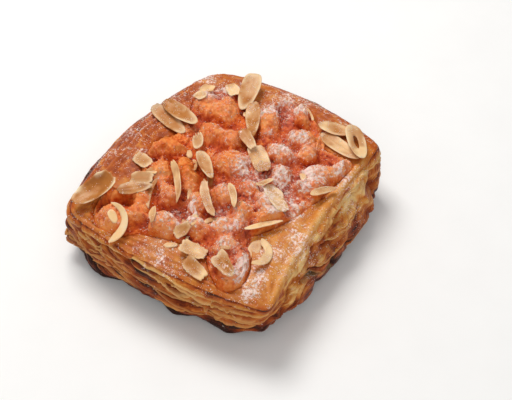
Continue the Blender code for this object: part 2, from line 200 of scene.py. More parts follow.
def held_inside(points: Array) -> Array:
    """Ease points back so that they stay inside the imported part's box in plan."""
    held = points.copy()
    for axis in range(2):
        limit = min(-CAD_BOX[0][axis], CAD_BOX[1][axis]) - EDGE_SPARE
        start = limit - EDGE_EASE
        over = np.maximum(np.abs(points[..., axis]) - start, 0)
        eased = start + EDGE_EASE * np.tanh(over / EDGE_EASE)
        held[..., axis] = np.where(over > 0, np.sign(points[..., axis]) * eased, points[..., axis])
    return held


def facing(angles: Array, direction: float, half_width: float, ease: float = 10.0) -> Array:
    """Return 1 within `half_width` degrees of a direction, easing to 0 beyond it."""
    return 1 - step_between(half_width - ease / 2, half_width + ease / 2, turn_between(angles, direction))


# Meshes and rays


def grid_faces(rows: int, columns: int, wrap: bool, first: int = 0) -> Array:
    """Return the four-sided faces of a grid of points.

    Args:
        rows: Rows of points.
        columns: Points in each row.
        wrap: Whether each row closes on itself.
        first: Index of the grid's first point.

    Returns:
        Four point indices to a face.
    """
    across = columns if wrap else columns - 1
    row, column = np.meshgrid(np.arange(rows - 1), np.arange(across), indexing="ij")
    after = (column + 1) % columns
    corners = [row * columns + column, row * columns + after,
               (row + 1) * columns + after, (row + 1) * columns + column]
    return np.stack(corners, axis=-1).reshape(-1, 4) + first


def make_piece(name: str, points: Array, faces: list, marks: dict[str, Array]) -> bpy.types.Object:
    """Build a smooth mesh object with named values on its points.

    Args:
        name: The piece's name.
        points: Points in metres.
        faces: Point indices of each face.
        marks: Values for each point, by attribute name.

    Returns:
        The new object.
    """
    mesh = bpy.data.meshes.new(name)
    mesh.from_pydata(points.tolist(), [], faces)
    mesh.validate()
    mesh.shade_smooth()
    for label, values in marks.items():
        layer = mesh.attributes.new(label, "FLOAT", "POINT")
        layer.data.foreach_set("value", np.asarray(values, dtype=np.float32))
    piece = bpy.data.objects.new(name, mesh)
    bpy.context.scene.collection.objects.link(piece)
    return piece


def report(piece: bpy.types.Object) -> None:
    """Log a piece's name and triangle count."""
    triangles = sum(len(face.vertices) - 2 for face in piece.data.polygons)
    log.info("%s: %d triangles", piece.name, triangles)


def tree_of(thing: bpy.types.Object) -> BVHTree:
    """Return a ray tree of an object's mesh."""
    mesh = thing.data
    faces = [tuple(face.vertices) for face in mesh.polygons]
    return BVHTree.FromPolygons([vertex.co.copy() for vertex in mesh.vertices], faces)


class Surfaces:
    """Surfaces that rays are cast against."""

    def __init__(self, things: list[bpy.types.Object]) -> None:
        """Keep the ray trees of some objects."""
        self.trees = [tree_of(thing) for thing in things]

    def cast(self, start: Array, direction: Array) -> Vector | None:
        """Return the nearest hit of a ray, if there is one."""
        origin = Vector(start)
        hits = [tree.ray_cast(origin, Vector(direction))[0] for tree in self.trees]
        hits = [hit for hit in hits if hit is not None]
        return min(hits, key=lambda hit: (hit - origin).length) if hits else None

    def heights(self, x: Array, y: Array, missing: float = math.nan) -> Array:
        """Return the height of the surface at each place in plan."""
        found = np.full(x.shape, missing)
        for index in np.ndindex(x.shape):
            hit = self.cast((x[index], y[index], ABOVE), (0, 0, -1))
            if hit is not None:
                found[index] = hit.z
        return found

    def undersides(self, points: Array) -> Array:
        """Return the height of the lowest surface above each point, or infinity."""
        found = np.full(len(points), np.inf)
        for index, (x, y, z) in enumerate(points):
            hit = self.cast((x, y, z - ABOVE / 10), (0, 0, 1))
            if hit is not None:
                found[index] = hit.z
        return found

    def radii(self, angles: Array, heights: Array) -> Array:
        """Return the distance from the middle axis to the surface, seen from outside."""
        found = np.zeros(heights.shape)
        for index in np.ndindex(heights.shape):
            cosine, sine = math.cos(angles[index]), math.sin(angles[index])
            start = (cosine * ABOVE, sine * ABOVE, heights[index])
            hit = self.cast(start, (-cosine, -sine, 0))
            found[index] = 0.0 if hit is None else math.hypot(hit.x, hit.y)
        return found


# Icing sugar is dusted more thickly around these places: x, y, spread in millimetres, strength.
SUGAR_SPOTS = (
    (30, -1, 10, 1.0), (36, 14, 8, 0.8), (14, 1, 10, 0.7), (53, -18, 8, 0.8), (49, -48, 9, 0.7),
    (39, -10, 7, 0.7), (-36, 39, 8, 0.8), (1, 50, 8, 0.8), (-7, 41, 7, 0.7), (48, 27, 9, 0.7),
    (-24, -52, 8, 0.1), (2, -39, 9, 0.5), (15, -22, 8, 0.5), (39, -46, 9, 0.35), (2, -60, 9, 0.5),
    (-52, -10, 12, 0.4), (-50, 20, 12, 0.5), (-50, 50, 9, 0.6), (30, 60, 12, 0.4), (0, 60, 12, 0.5),
    (20, 25, 9, 0.7), (-30, 10, 7, 0.4), (44, -30, 6, 0.6), (25, -32, 8, 0.7),
)
SUGAR_BARE = ((-30, -45, 12, 0.6), (-33, -3, 8, 0.9), (-14, -12, 9, 0.8), (-36, 10, 9, 0.5), (44, 46, 8, 0.9))
SUGAR_BASE = 0.38


def sugar_density(points: Array) -> Array:
    """Say how thickly the icing sugar lies over each point.

    Args:
        points: Points in metres.

    Returns:
        Values from 0, bare, to 1, thick.
    """
    plan = points[..., :2] / MM
    density = np.full(points.shape[:-1], SUGAR_BASE)
    for x, y, spread, strength in SUGAR_SPOTS:
        density += strength * bell(np.hypot(plan[..., 0] - x, plan[..., 1] - y), spread) * 0.8
    for x, y, spread, strength in SUGAR_BARE:
        density *= 1 - strength * bell(np.hypot(plan[..., 0] - x, plan[..., 1] - y), spread)
    clumps = layered_noise(points, 7 * MM, 3, 71)
    return np.clip(density * (1 + 0.8 * clumps), 0, 1)


# Shader nodes


class Shading:
    """Places and links nodes in one node tree."""

    def __init__(self, tree: bpy.types.NodeTree) -> None:
        """Start on a tree."""
        self.tree = tree

    def node(self, kind: str, **settings: object) -> bpy.types.Node:
        """Add a node and set its properties."""
        made = self.tree.nodes.new(kind)
        for key, value in settings.items():
            setattr(made, key, value)
        return made

    def set(self, socket: bpy.types.NodeSocket, value: object) -> None:
        """Link a socket to another one, or give it a plain value."""
        if isinstance(value, bpy.types.NodeSocket):
            self.tree.links.new(value, socket)
        else:
            socket.default_value = value

    def math(self, operation: str, first: object, second: object = 0.0,
             clamp: bool = False) -> bpy.types.NodeSocket:
        """Add a Math node."""
        made = self.node("ShaderNodeMath", operation=operation, use_clamp=clamp)
        self.set(made.inputs[0], first)
        self.set(made.inputs[1], second)
        return made.outputs[0]

    def between(self, value: object, low: object, high: object) -> bpy.types.NodeSocket:
        """Rise smoothly from 0 at `low` to 1 at `high`."""
        made = self.node("ShaderNodeMapRange", interpolation_type="SMOOTHSTEP")
        self.set(made.inputs["Value"], value)
        self.set(made.inputs["From Min"], low)
        self.set(made.inputs["From Max"], high)
        return made.outputs["Result"]

    def noise(self, place: object, scale: object, detail: float = 2.0,
              roughness: float = 0.5) -> bpy.types.NodeSocket:
        """Add a noise texture, its scale in features a metre."""
        made = self.node("ShaderNodeTexNoise")
        self.set(made.inputs["Vector"], place)
        self.set(made.inputs["Scale"], scale)
        self.set(made.inputs["Detail"], detail)
        self.set(made.inputs["Roughness"], roughness)
        return made.outputs["Fac"]

    def mark(self, name: str) -> bpy.types.NodeSocket:
        """Read a named value of the mesh's points."""
        return self.node("ShaderNodeAttribute", attribute_name=name).outputs["Fac"]

    def ramp(self, value: object, stops: tuple) -> bpy.types.NodeSocket:
        """Turn a value into a colour, from (position, colour) stops."""
        made = self.node("ShaderNodeValToRGB")
        elements = made.color_ramp.elements
        elements[0].position, elements[0].color = stops[0][0], (*stops[0][1], 1)
        elements[1].position, elements[1].color = stops[-1][0], (*stops[-1][1], 1)
        for position, colour in stops[1:-1]:
            elements.new(position).color = (*colour, 1)
        self.set(made.inputs["Fac"], value)
        return made.outputs["Color"]

    def mix(self, share: object, first: object, second: object,
            blend: str = "MIX") -> bpy.types.NodeSocket:
        """Mix two colours."""
        made = self.node("ShaderNodeMix", data_type="RGBA", blend_type=blend)
        self.set(made.inputs["Factor"], share)
        self.set(made.inputs[6], first)
        self.set(made.inputs[7], second)
        return made.outputs[2]

    def group(self, tree: bpy.types.NodeTree, **values: object) -> bpy.types.Node:
        """Place a node group and set its inputs, underscores standing for spaces."""
        made = self.node("ShaderNodeGroup", node_tree=tree)
        for key, value in values.items():
            self.set(made.inputs[key.replace("_", " ")], value)
        return made


def new_group(name: str, inputs: dict[str, float], outputs: tuple[str, ...]) -> tuple:
    """Start a shader node group of plain values.

    Args:
        name: The group's name.
        inputs: Default value of each input, by name.
        outputs: Names of the outputs.

    Returns:
        The group, its shading helper, its input node and its output node.
    """
    tree = bpy.data.node_groups.new(name, "ShaderNodeTree")
    for label, default in inputs.items():
        socket = tree.interface.new_socket(name=label, in_out="INPUT", socket_type="NodeSocketFloat")
        socket.default_value = default
    for label in outputs:
        tree.interface.new_socket(name=label, in_out="OUTPUT", socket_type="NodeSocketFloat")
    shading = Shading(tree)
    return tree, shading, shading.node("NodeGroupInput"), shading.node("NodeGroupOutput")


def sugar_dust_group() -> bpy.types.NodeTree:
    """Build the group that speckles upward faces with icing sugar.

    Returns:
        A group that turns a thickness of sugar into a mask of fine specks and a height.
    """
    tree, shading, given, result = new_group(
        "sugar_dust", {"Amount": 0.5, "Speck Scale": 820.0, "Haze": 0.3}, ("Mask", "Height"))
    place = shading.node("ShaderNodeTexCoord").outputs["Object"]
    normal = shading.node("ShaderNodeNewGeometry").outputs["Normal"]
    split = shading.node("ShaderNodeSeparateXYZ")
    shading.set(split.inputs[0], normal)
    upward = shading.between(split.outputs["Z"], -0.15, 0.7)
    amount = shading.math("MULTIPLY", given.outputs["Amount"], upward)
    specks = shading.noise(place, given.outputs["Speck Scale"], 3.0, 0.65)
    patches = shading.noise(place, 260.0, 2.0)
    mottled = shading.math("ADD", specks, shading.math("MULTIPLY", patches, 0.35))
    threshold = shading.math("SUBTRACT", 0.91, shading.math("MULTIPLY", amount, 0.30))
    sharp = shading.between(mottled, threshold, shading.math("ADD", threshold, 0.18))
    thick = shading.math("MULTIPLY", amount, amount)
    haze = shading.math("MULTIPLY", shading.math("MULTIPLY", thick, given.outputs["Haze"]), mottled)
    mask = shading.math("ADD", sharp, haze, clamp=True)
    shading.set(result.inputs["Mask"], shading.math("MULTIPLY", mask, 0.86))
    shading.set(result.inputs["Height"], sharp)
    return tree


def fine_grain_group() -> bpy.types.NodeTree:
    """Build the group that gives a surface its fine crumb.

    Returns:
        A group with a height for bump and a mottling value, both about 0 to 1.
    """
    tree, shading, given, result = new_group(
        "fine_grain", {"Coarse Scale": 300.0, "Fine Scale": 1400.0}, ("Height", "Mottle"))
    place = shading.node("ShaderNodeTexCoord").outputs["Object"]
    coarse = shading.noise(place, given.outputs["Coarse Scale"], 3.0)
    fine = shading.noise(place, given.outputs["Fine Scale"], 2.0, 0.6)
    height = shading.math("ADD", shading.math("MULTIPLY", coarse, 0.6),
                          shading.math("MULTIPLY", fine, 0.4))
    shading.set(result.inputs["Height"], height)
    shading.set(result.inputs["Mottle"], coarse)
    return tree


def flaky_lines_group() -> bpy.types.NodeTree:
    """Build the group that draws the fine torn edges between the thin sheets of the crust.

    Returns:
        A group with a mask of thin lines that follow the layers, and a change of shade.
    """
    tree, shading, given, result = new_group(
        "flaky_lines", {"Layer": 0.0, "Amount": 0.5, "Spread": 85.0, "Sheets": 2.4}, ("Lines", "Tone"))
    split = shading.node("ShaderNodeSeparateXYZ")
    shading.set(split.inputs[0], shading.node("ShaderNodeTexCoord").outputs["Object"])
    place = shading.node("ShaderNodeCombineXYZ")
    for axis in "XY":
        spread = shading.math("MULTIPLY", split.outputs[axis], given.outputs["Spread"])
        shading.set(place.inputs[axis], spread)
    sheets = shading.math("MULTIPLY", given.outputs["Layer"], given.outputs["Sheets"])
    shading.set(place.inputs["Z"], sheets)
    wave = shading.noise(place.outputs[0], 1.0, 4.0, 0.62)
    away = shading.math("ABSOLUTE", shading.math("SUBTRACT", wave, 0.5))
    thin = shading.math("SUBTRACT", 1.0, shading.between(away, 0.0, 0.035))
    shading.set(result.inputs["Lines"], shading.math("MULTIPLY", thin, given.outputs["Amount"]))
    tone = shading.math("MULTIPLY", shading.math("SUBTRACT", wave, 0.5), given.outputs["Amount"])
    shading.set(result.inputs["Tone"], tone)
    return tree


SUGAR_COLOUR = (0.93, 0.75, 0.68)


@dataclass(frozen=True)
class Gloss:
    """Plain shader values of a finish."""

    roughness: float = 0.5
    shine: float = 0.3
    coat: float = 0.0
    glow: float = 0.0
    glow_depth: float = 1.5 * MM
    glow_colour: tuple[float, float, float] = (1.0, 0.35, 0.12)


@dataclass(frozen=True)
class Finish:
    """One food finish: a colour ramp over its shade, fine grain, and dusted sugar.

    The mesh gives three values on its points: `shade` picks the colour, from the food's own tone and painted shade,
    `sugar` is how thickly sugar lies, and the lip mark gives thin pale edges and painted highlights on them.
    """

    name: str
    stops: tuple
    lip_and_highlight_colour: tuple[float, float, float]
    gloss: Gloss
    coarse: float = 300.0
    fine: float = 1400.0
    mottle: float = 0.25
    bump: float = 0.25 * MM
    haze: float = 0.35
    flaky: bool = False

    def material(self, dust: bpy.types.NodeTree, grain: bpy.types.NodeTree,
                 sheets: bpy.types.NodeTree) -> bpy.types.Material:
        """Build the material.

        Args:
            dust: The group that speckles with sugar.
            grain: The group of fine crumb.
            sheets: The group of fine flaky lines, used by a flaky finish.

        Returns:
            A Principled material with colour, roughness and bump from its nodes.
        """
        made = bpy.data.materials.new(self.name)
        made.use_nodes = True
        shading = Shading(made.node_tree)
        shader = made.node_tree.nodes["Principled BSDF"]
        crumb = shading.group(grain, Coarse_Scale=self.coarse, Fine_Scale=self.fine)
        dusting = shading.group(dust, Amount=shading.mark("sugar"), Haze=self.haze)
        drift = shading.math("MULTIPLY", shading.math("SUBTRACT", crumb.outputs["Mottle"], 0.5),
                             self.mottle * 2)
        shade = shading.math("ADD", shading.mark("shade"), drift)
        relief = crumb.outputs["Height"]
        if self.flaky:
            lines = shading.group(sheets, Layer=shading.mark("layer"), Amount=shading.mark("flaky"))
            tone = shading.math("MULTIPLY", lines.outputs["Tone"], 1.1)
            shade = shading.math("ADD", shade, shading.math("SUBTRACT", tone, shading.math(
                "MULTIPLY", lines.outputs["Lines"], 0.20)))
            relief = shading.math("ADD", relief, shading.math("MULTIPLY", lines.outputs["Lines"], 0.9))
        colour = shading.ramp(shade, self.stops)
        colour = shading.mix(shading.mark("lip_and_highlight"), colour, (*self.lip_and_highlight_colour, 1))
        mask = dusting.outputs["Mask"]
        shading.set(shader.inputs["Base Color"], shading.mix(mask, colour, (*SUGAR_COLOUR, 1)))
        rough = shading.math("ADD", self.gloss.roughness - 0.1,
                             shading.math("MULTIPLY", crumb.outputs["Height"], 0.2))
        rough = shading.math("ADD", rough, shading.math("MULTIPLY", mask, 0.4), clamp=True)
        shading.set(shader.inputs["Roughness"], rough)
        relief = shading.math("ADD", relief,
                              shading.math("MULTIPLY", dusting.outputs["Height"], 0.35))
        bump = shading.node("ShaderNodeBump")
        bump.inputs["Strength"].default_value = 0.8
        bump.inputs["Distance"].default_value = self.bump
        shading.set(bump.inputs["Height"], relief)
        shading.set(shader.inputs["Normal"], bump.outputs["Normal"])
        shader.inputs["Specular IOR Level"].default_value = self.gloss.shine
        shader.inputs["Coat Weight"].default_value = self.gloss.coat
        shader.inputs["Coat Roughness"].default_value = 0.25
        shader.inputs["Subsurface Weight"].default_value = self.gloss.glow
        shader.inputs["Subsurface Radius"].default_value = self.gloss.glow_colour
        shader.inputs["Subsurface Scale"].default_value = self.gloss.glow_depth
        return made


CRUST_FINISH = Finish(
    "baked_crust",
    ((0.0, (0.80, 0.50, 0.19)), (0.25, (0.64, 0.245, 0.042)), (0.5, (0.44, 0.092, 0.010)),
     (0.75, (0.22, 0.031, 0.004)), (1.0, (0.034, 0.007, 0.003))),
    (0.78, 0.47, 0.18), Gloss(roughness=0.36, shine=0.12, glow=0.10, glow_depth=1.0 * MM),
    haze=0.14, flaky=True)
PASTE_FINISH = Finish(
    "almond_paste",
    ((0.0, (0.84, 0.30, 0.070)), (0.35, (0.72, 0.150, 0.014)), (0.7, (0.50, 0.056, 0.004)),
     (1.0, (0.19, 0.012, 0.001))),
    (0.62, 0.22, 0.08), Gloss(roughness=0.50, shine=0.18, glow=0.15, glow_depth=1.4 * MM),
    coarse=620.0, fine=1700.0, mottle=0.45, bump=0.8 * MM, haze=0.42)
ALMOND_FINISH = Finish(
    "toasted_almond",
    ((0.0, (0.85, 0.57, 0.29)), (0.35, (0.58, 0.30, 0.130)), (0.65, (0.46, 0.170, 0.035)),
     (0.85, (0.32, 0.100, 0.014)), (1.0, (0.10, 0.025, 0.006))),
    (0.88, 0.68, 0.43), Gloss(roughness=0.36, shine=0.2, glow=0.2, glow_depth=0.9 * MM,
                              glow_colour=(1.0, 0.6, 0.3)),
    coarse=160.0, fine=1200.0, mottle=0.22, bump=0.05 * MM, haze=0.0)


def sugar_material() -> bpy.types.Material:
    """Return the finish of the loose sugar grains."""
    made = bpy.data.materials.new("icing_sugar")
    made.use_nodes = True
    shading = Shading(made.node_tree)
    shader = made.node_tree.nodes["Principled BSDF"]
    place = shading.node("ShaderNodeTexCoord").outputs["Object"]
    cloud = shading.noise(place, 700.0)
    shading.set(shader.inputs["Base Color"],
                shading.ramp(cloud, ((0.3, (0.86, 0.67, 0.58)), (0.7, (0.94, 0.80, 0.73)))))
    shader.inputs["Roughness"].default_value = 0.85
    shader.inputs["Subsurface Weight"].default_value = 0.3
    shader.inputs["Subsurface Scale"].default_value = 0.4 * MM
    return made


# The crust


def arc_between(turn: Array, start: float, radius: Array) -> Array:
    """Return how far directions in degrees lie from `start`, along the side in millimetres."""
    return ((turn - start + 180) % 360 - 180) * radius * math.pi / 180


@dataclass(frozen=True)
class Swelling:
    """A rounded swelling of the side, or a hollow where `raised` is negative, in degrees and mm."""

    turn: float
    height: float
    along: float
    up: float
    raised: float
    shade: float = 0.0

    def across(self, turn: Array, height: Array, radius: Array) -> tuple[Array, Array]:
        """Return how far each point is raised in millimetres, and its change of shade."""
        away = np.hypot(arc_between(turn, self.turn, radius) / self.along, (height - self.height) / self.up)
        weight = 1 - step_between(0.0, 1.5, away)
        return self.raised * weight, self.shade * weight


# Swellings and hollows of the side: the curled left corner, the foot, and the lobes on the right. The hollows are
# darkened with painted shade.
SWELLINGS = (
    Swelling(229, 19, 4.5, 3.0, 2.4, 0.25), Swelling(231, 12, 4.5, 3.0, 2.2, 0.28),
    Swelling(226, 26, 4, 3.5, 1.2, 0.05), Swelling(230, 15.5, 5, 1.2, -1.8, 0.3),
    Swelling(245, 5.5, 8, 4, 2.4, 0.05), Swelling(237, 8.5, 4, 2.5, -1.2, 0.35),
    Swelling(246, 10.5, 7, 1.2, -1.2, 0.35), Swelling(262, 3, 7, 3, 1.0, 0.15),
    Swelling(283, 2.4, 8, 3.2, 1.8, 0.45), Swelling(304, 4, 8, 3.5, 1.8, 0.45),
    Swelling(318, 8, 4, 4, 1.4, 0.35), Swelling(323, 12, 3, 4, 1.0, 0.3),
    Swelling(339, 8.6, 7, 4.5, 2.2, 0.15), Swelling(352, 13, 5, 3.5, 1.5, 0.0),
    Swelling(5, 9, 7, 4.5, 1.8, 0.15), Swelling(21, 12, 7, 5, 1.8, 0.08),
    Swelling(30, 20, 5, 5, 1.6, -0.05), Swelling(38, 27, 3.5, 3, 1.3, -0.05),
    Swelling(46, 20, 4, 7, 1.6, 0.22), Swelling(38, 9, 1.6, 6, -2.0, 0.35),
    Swelling(12, 7, 1.6, 4.5, -1.8, 0.3), Swelling(349, 17, 5, 1.6, -1.6, 0.4),
    Swelling(326, 15, 2.5, 6, -1.2, 0.3),
)


@dataclass(frozen=True)
class Fold:
    """A fold of the side that runs through places given by direction in degrees and height in mm.

    Above its line the fold is raised and below it drawn in, as far as `reach` millimetres away.
    Where the fold is sunk, `hollow_shade` and `shade` darken it as painted shade, `shade` lightens a
    raised side as a painted highlight, and the fold line gets a pale edge, partly painted highlight.
    """

    line: tuple[tuple[float, float], ...]
    reach: float = 2.0
    raised: float = 1.0
    hollow: float = 0.0
    shade: float = 0.0
    hollow_shade: float = 0.25
    lip_and_highlight: float = 0.0
    sheet: float = 0.0

    def across(self, turn: Array, height: Array, radius: Array) -> tuple[Array, Array, Array]:
        """Find the fold's effect.

        Args:
            turn: Direction of each point in degrees.
            height: Height of each point in millimetres.
            radius: Distance of the rim from the middle in millimetres, by column.

        Returns:
            How far each point is raised in millimetres, its change of shade, and its lip.
        """
        nearest = np.full(height.shape, 99.0)
        above = np.zeros(height.shape)
        for (turn0, height0), (turn1, height1) in zip(self.line, self.line[1:]):
            x0 = arc_between(turn, turn0, radius)
            span = arc_between(turn1, turn0, radius)
            y0, rise = height - height0, height1 - height0
            share = np.clip((x0 * span + y0 * rise) / (span * span + rise * rise), 0, 1)
            gap = np.hypot(x0 - share * span, y0 - share * rise)
            side = (y0 * np.abs(span) - x0 * rise * np.sign(span)) / np.hypot(span, rise)
            closer = gap < nearest
            above = np.where(closer, side, above)
            nearest = np.where(closer, gap, nearest)
        near = bell(nearest, self.reach)
        over = step_between(-0.35, 0.35, above)
        raised = near * (self.raised * over - self.hollow * (1 - over))
        # Painted shade in the hollow below the line and on a sunk side above it.
        shaded = near * (self.shade * over + self.hollow_shade * (self.hollow > 0) * (1 - over))
        return 1.3 * raised, shaded, self.lip_and_highlight * bell(nearest, 0.45)


# Folds of the two sides that show most, front left and right.
FOLDS = (
    Fold(((246, 28), (254, 30), (262, 29.5), (266, 31), (272, 30), (279, 30.5), (286, 29), (294, 28),
          (304, 28.5)), 2.6, 0.5, 2.0, -0.05, 0.42, 0.6, 2.4),
    Fold(((262, 28), (266, 25), (273, 26), (279, 25), (285, 22), (292, 19), (300, 18)),
         2.4, 1.0, 1.0, 0.0, 0.28, 0.5, 1.8),
    Fold(((248, 26), (251, 16), (260, 12), (267, 8)), 2.2, 1.2, 1.2, -0.05, 0.35, 0.4, 1.4),
    Fold(((250, 22), (258, 18.5), (268, 17), (280, 14), (292, 12), (302, 13)), 1.8, 0.8, 0.8, -0.04, 0.25, 0.4, 1.4),
    Fold(((236, 24), (242, 15), (248, 5)), 2.0, 1.0, 1.0, -0.1, 0.3, 0.3, 1.2),
    Fold(((240, 29), (246, 22), (253, 13)), 2.0, 1.0, 1.0, -0.1, 0.3, 0.3, 1.2),
    Fold(((15, 29), (359, 28.5), (346, 29), (337, 28), (330, 24), (324, 14)), 1.8, 0.3, 1.6, 0.0, 0.38, 0.1),
    Fold(((336, 21), (345, 16), (352, 11), (358, 9)), 2.4, -1.6, -1.0, 0.45, 0.0, 0.7, 1.6),
    Fold(((339, 9), (333, 12)), 4.5, 1.2, -1.2, 0.15, 0.0),
    Fold(((330, 22), (326, 14), (322, 7)), 1.2, 0.8, 0.6, -0.1, 0.22, 0.4),
    Fold(((334, 22), (330, 14), (326, 6)), 1.2, 0.8, 0.6, -0.1, 0.22, 0.4),
    Fold(((338, 20), (334, 13), (331, 5)), 1.2, 0.8, 0.6, -0.1, 0.22, 0.4),
    Fold(((30, 27), (32, 18), (35, 10)), 2.8, 1.5, -1.5, -0.05, 0.0),
    Fold(((39, 24), (40, 14), (42, 6)), 1.8, -1.5, 1.5, 0.3, 0.3),
    Fold(((345, 21), (353, 17), (2, 15), (10, 14)), 2.0, 1.2, 0.9, -0.05, 0.28, 0.4, 1.4),
    Fold(((356, 25), (5, 22), (14, 21), (24, 22)), 2.0, 1.1, 0.9, -0.05, 0.28, 0.4, 1.4),
    Fold(((2, 10), (12, 8), (24, 9), (34, 7)), 2.2, 1.2, 0.9, 0.0, 0.28, 0.3, 1.2),
)


@dataclass
class Crust:
    """The baked dough as one closed loft, with its layers, folds and blisters."""

    spokes: int = 700
    side_rows: int = 90
    top_rows: int = 38
    samples: int = 480
    layers: int = 8
    seed: int = 4
    layer_depth: float = 2.7 * MM
    lobe_size: tuple[float, float, float] = (15 * MM, 15 * MM, 11 * MM)
    skin_level: float = 0.90
    skin_depth: float = 1.25
    tuck: float = 5.0 * MM
    tuck_drop: float = 4.5 * MM
    right: float = 3.0
    right_half: float = 40.0
    swellings: tuple[Swelling, ...] = SWELLINGS
    folds: tuple[Fold, ...] = FOLDS
    angles: Array = field(init=False)
    rim_radius: Array = field(init=False)
    rim_height: Array = field(init=False)

    def read_sections(self) -> None:
        """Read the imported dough: its rim, side and top in each direction."""
        surface = Surfaces([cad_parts["dough"]])
        angles = np.arange(self.samples) / self.samples * 2 * math.pi
        reach = np.arange(90, 20, -0.5) * MM
        heights = surface.heights(np.outer(np.cos(angles), reach), np.outer(np.sin(angles), reach))
        rise = heights[:, 2:] - heights[:, :-2]
        flat = (rise < 0.85 * MM) & ~np.isnan(rise)
        first = np.argmax(flat, axis=1)
        rows = np.arange(self.samples)
        self.angles = angles
        self.rim_radius = blurred(reach[first], 1.3, 0, True)
        self.rim_height = blurred(heights[rows, first], 2.0, 0, True)
        fallen = np.nan_to_num(heights, nan=1.0) < self.rim_height[:, None] - 3 * MM
        fallen &= np.arange(len(reach)) > first[:, None]
        recess = reach[np.argmax(fallen, axis=1)]
        self.shelf = self.rim_radius - recess - 1.0 * MM
        levels = np.linspace(0.0, 0.96, 33)
        grid = np.clip(np.outer(self.rim_height, levels), 0.05 * MM, None)
        radii = surface.radii(np.repeat(angles[:, None], len(levels), axis=1), grid)
        radii = blurred(blurred(radii, 1.8, 1, False), 1.2, 0, True)
        self.levels = np.append(levels, 1.0)
        self.side = np.concatenate([radii, self.rim_radius[:, None]], axis=1)
        self.insets = np.linspace(0, 1, 30)
        inset = np.outer(self.shelf, self.insets)
        distance = self.rim_radius[:, None] - inset
        tops = surface.heights(np.cos(angles)[:, None] * distance, np.sin(angles)[:, None] * distance)
        tops = np.maximum(tops, self.rim_height[:, None] - 2 * MM)
        self.top = blurred(blurred(tops, 1.0, 1, False), 1.5, 0, True)

    def around(self, values: Array) -> Array:
        """Carry values for each sampled direction over to the loft's spokes."""
        return np.interp(self.turns, self.angles, values, period=2 * math.pi)

    def lofted(self, table: Array, marks: Array, wanted: Array) -> Array:
        """Interpolate a table of directions by marks at the wanted marks and the loft's spokes."""
        rows = np.array([np.interp(wanted, marks, row) for row in table])
        return np.array([self.around(column) for column in rows.T])

    def base(self) -> None:
        """Lay out the smooth loft: under the foot, up the side, over the rim and under the paste."""
        perimeter = np.append(0, np.cumsum(np.abs(self.rim_radius) + 0.02))
        fine = np.append(self.angles, 2 * math.pi)
        self.turns = np.interp(np.arange(self.spokes) / self.spokes * perimeter[-1], perimeter, fine)
        rim_height = self.around(self.rim_height)
        rim_radius = self.around(self.rim_radius)
        shelf = self.around(self.shelf)
        level = np.linspace(0, 1, self.side_rows)
        side_radius = self.lofted(self.side, self.levels, level)
        side_height = level[:, None] * rim_height
        share = np.linspace(0, 1, self.top_rows)[1:]
        top_radius = rim_radius - share[:, None] * shelf
        top_height = self.lofted(self.top, self.insets, share)
        sink = np.linspace(0, 1, 6)[1:, None]
        tuck_radius = top_radius[-1] - sink * self.tuck
        tuck_height = top_height[-1] - sink * self.tuck_drop
        under = np.array([0.3, 0.6, 0.85])[:, None]
        radius = np.concatenate([side_radius[0] * under, side_radius, top_radius, tuck_radius])
        height = np.concatenate([0 * side_radius[:3], side_height, top_height, tuck_height])
        self.points = np.stack([radius * np.cos(self.turns), radius * np.sin(self.turns), height], -1)
        rows = len(radius)
        self.side_level = np.clip((np.arange(rows) - 3) / (self.side_rows - 1), 0, 1)
        self.inset = np.zeros((rows, self.spokes))
        first_top = 3 + self.side_rows
        self.inset[first_top:] = rim_radius - radius[first_top:]
        self.is_side = np.zeros(rows, bool)
        self.is_side[3:first_top] = True
        self.is_top = np.zeros(rows, bool)
        self.is_top[first_top - 1:] = True

    def normals(self) -> Array:
        """Return the loft's outward normals."""
        along = np.roll(self.points, -1, 1) - np.roll(self.points, 1, 1)
        up = np.gradient(self.points, axis=0)
        normal = np.cross(along, up)
        return normal / np.maximum(np.linalg.norm(normal, axis=-1, keepdims=True), 1e-12)

    def slant(self) -> Array:
        """Return how far the layers have climbed in each direction, in shares of the side."""
        degrees = np.degrees(self.turns)
        near = 0.55 * (step_between(231, 266, degrees) - step_between(306, 346, degrees))
        ring = np.stack([np.cos(self.turns), np.sin(self.turns), 0 * self.turns], -1)
        return near + 0.10 * noise(ring, 0.9, 9)

    def layer_edges(self) -> tuple[Array, Array]:
        """Place the wavy, ragged edges between the layers.

        Returns:
            The level of each edge, and how far its layer stands out, by edge and spoke.
        """
        draw = np.random.default_rng(self.seed)
        ring = np.stack([np.cos(self.turns), np.sin(self.turns), 0 * self.turns], -1) * 62 * MM
        starts = np.cumsum(draw.uniform(0.45, 1.75, self.layers * 2)) / self.layers - 0.6
        shared = 0.055 * noise(ring, 26 * MM, 3) + 0.03 * noise(ring, 10 * MM, 4) - self.slant()
        self.drift = shared
        levels = []
        depths = []
        for edge, start in enumerate(starts):
            place = ring + np.array([0, 0, 0.1 * edge])
            torn = step_between(-0.2, 0.5, noise(place, 20 * MM, 8))
            wave = 0.040 * noise(place, 18 * MM, 5) + 0.018 * noise(place, 6 * MM, 6)
            wave += torn * (0.014 * noise(place, 2.4 * MM, 9) + 0.008 * noise(place, 1.1 * MM, 10))
            levels.append(start + shared + wave)
            depths.append(0.15 + 0.95 * step_between(-0.5, 0.4, noise(place, 22 * MM, 7)))
        place = ring + np.array([0, 0, 5.0])
        skin = self.skin_level + 0.035 * noise(place, 9 * MM, 10) + 0.02 * noise(place, 2.5 * MM, 11)
        levels = np.minimum(np.maximum.accumulate(np.array(levels), axis=0), skin)
        levels = np.concatenate([np.full((1, self.spokes), -9.0), levels, skin[None]])
        depths = np.concatenate([depths[:1], depths, np.full((1, self.spokes), self.skin_depth)])
        return levels, np.array(depths)

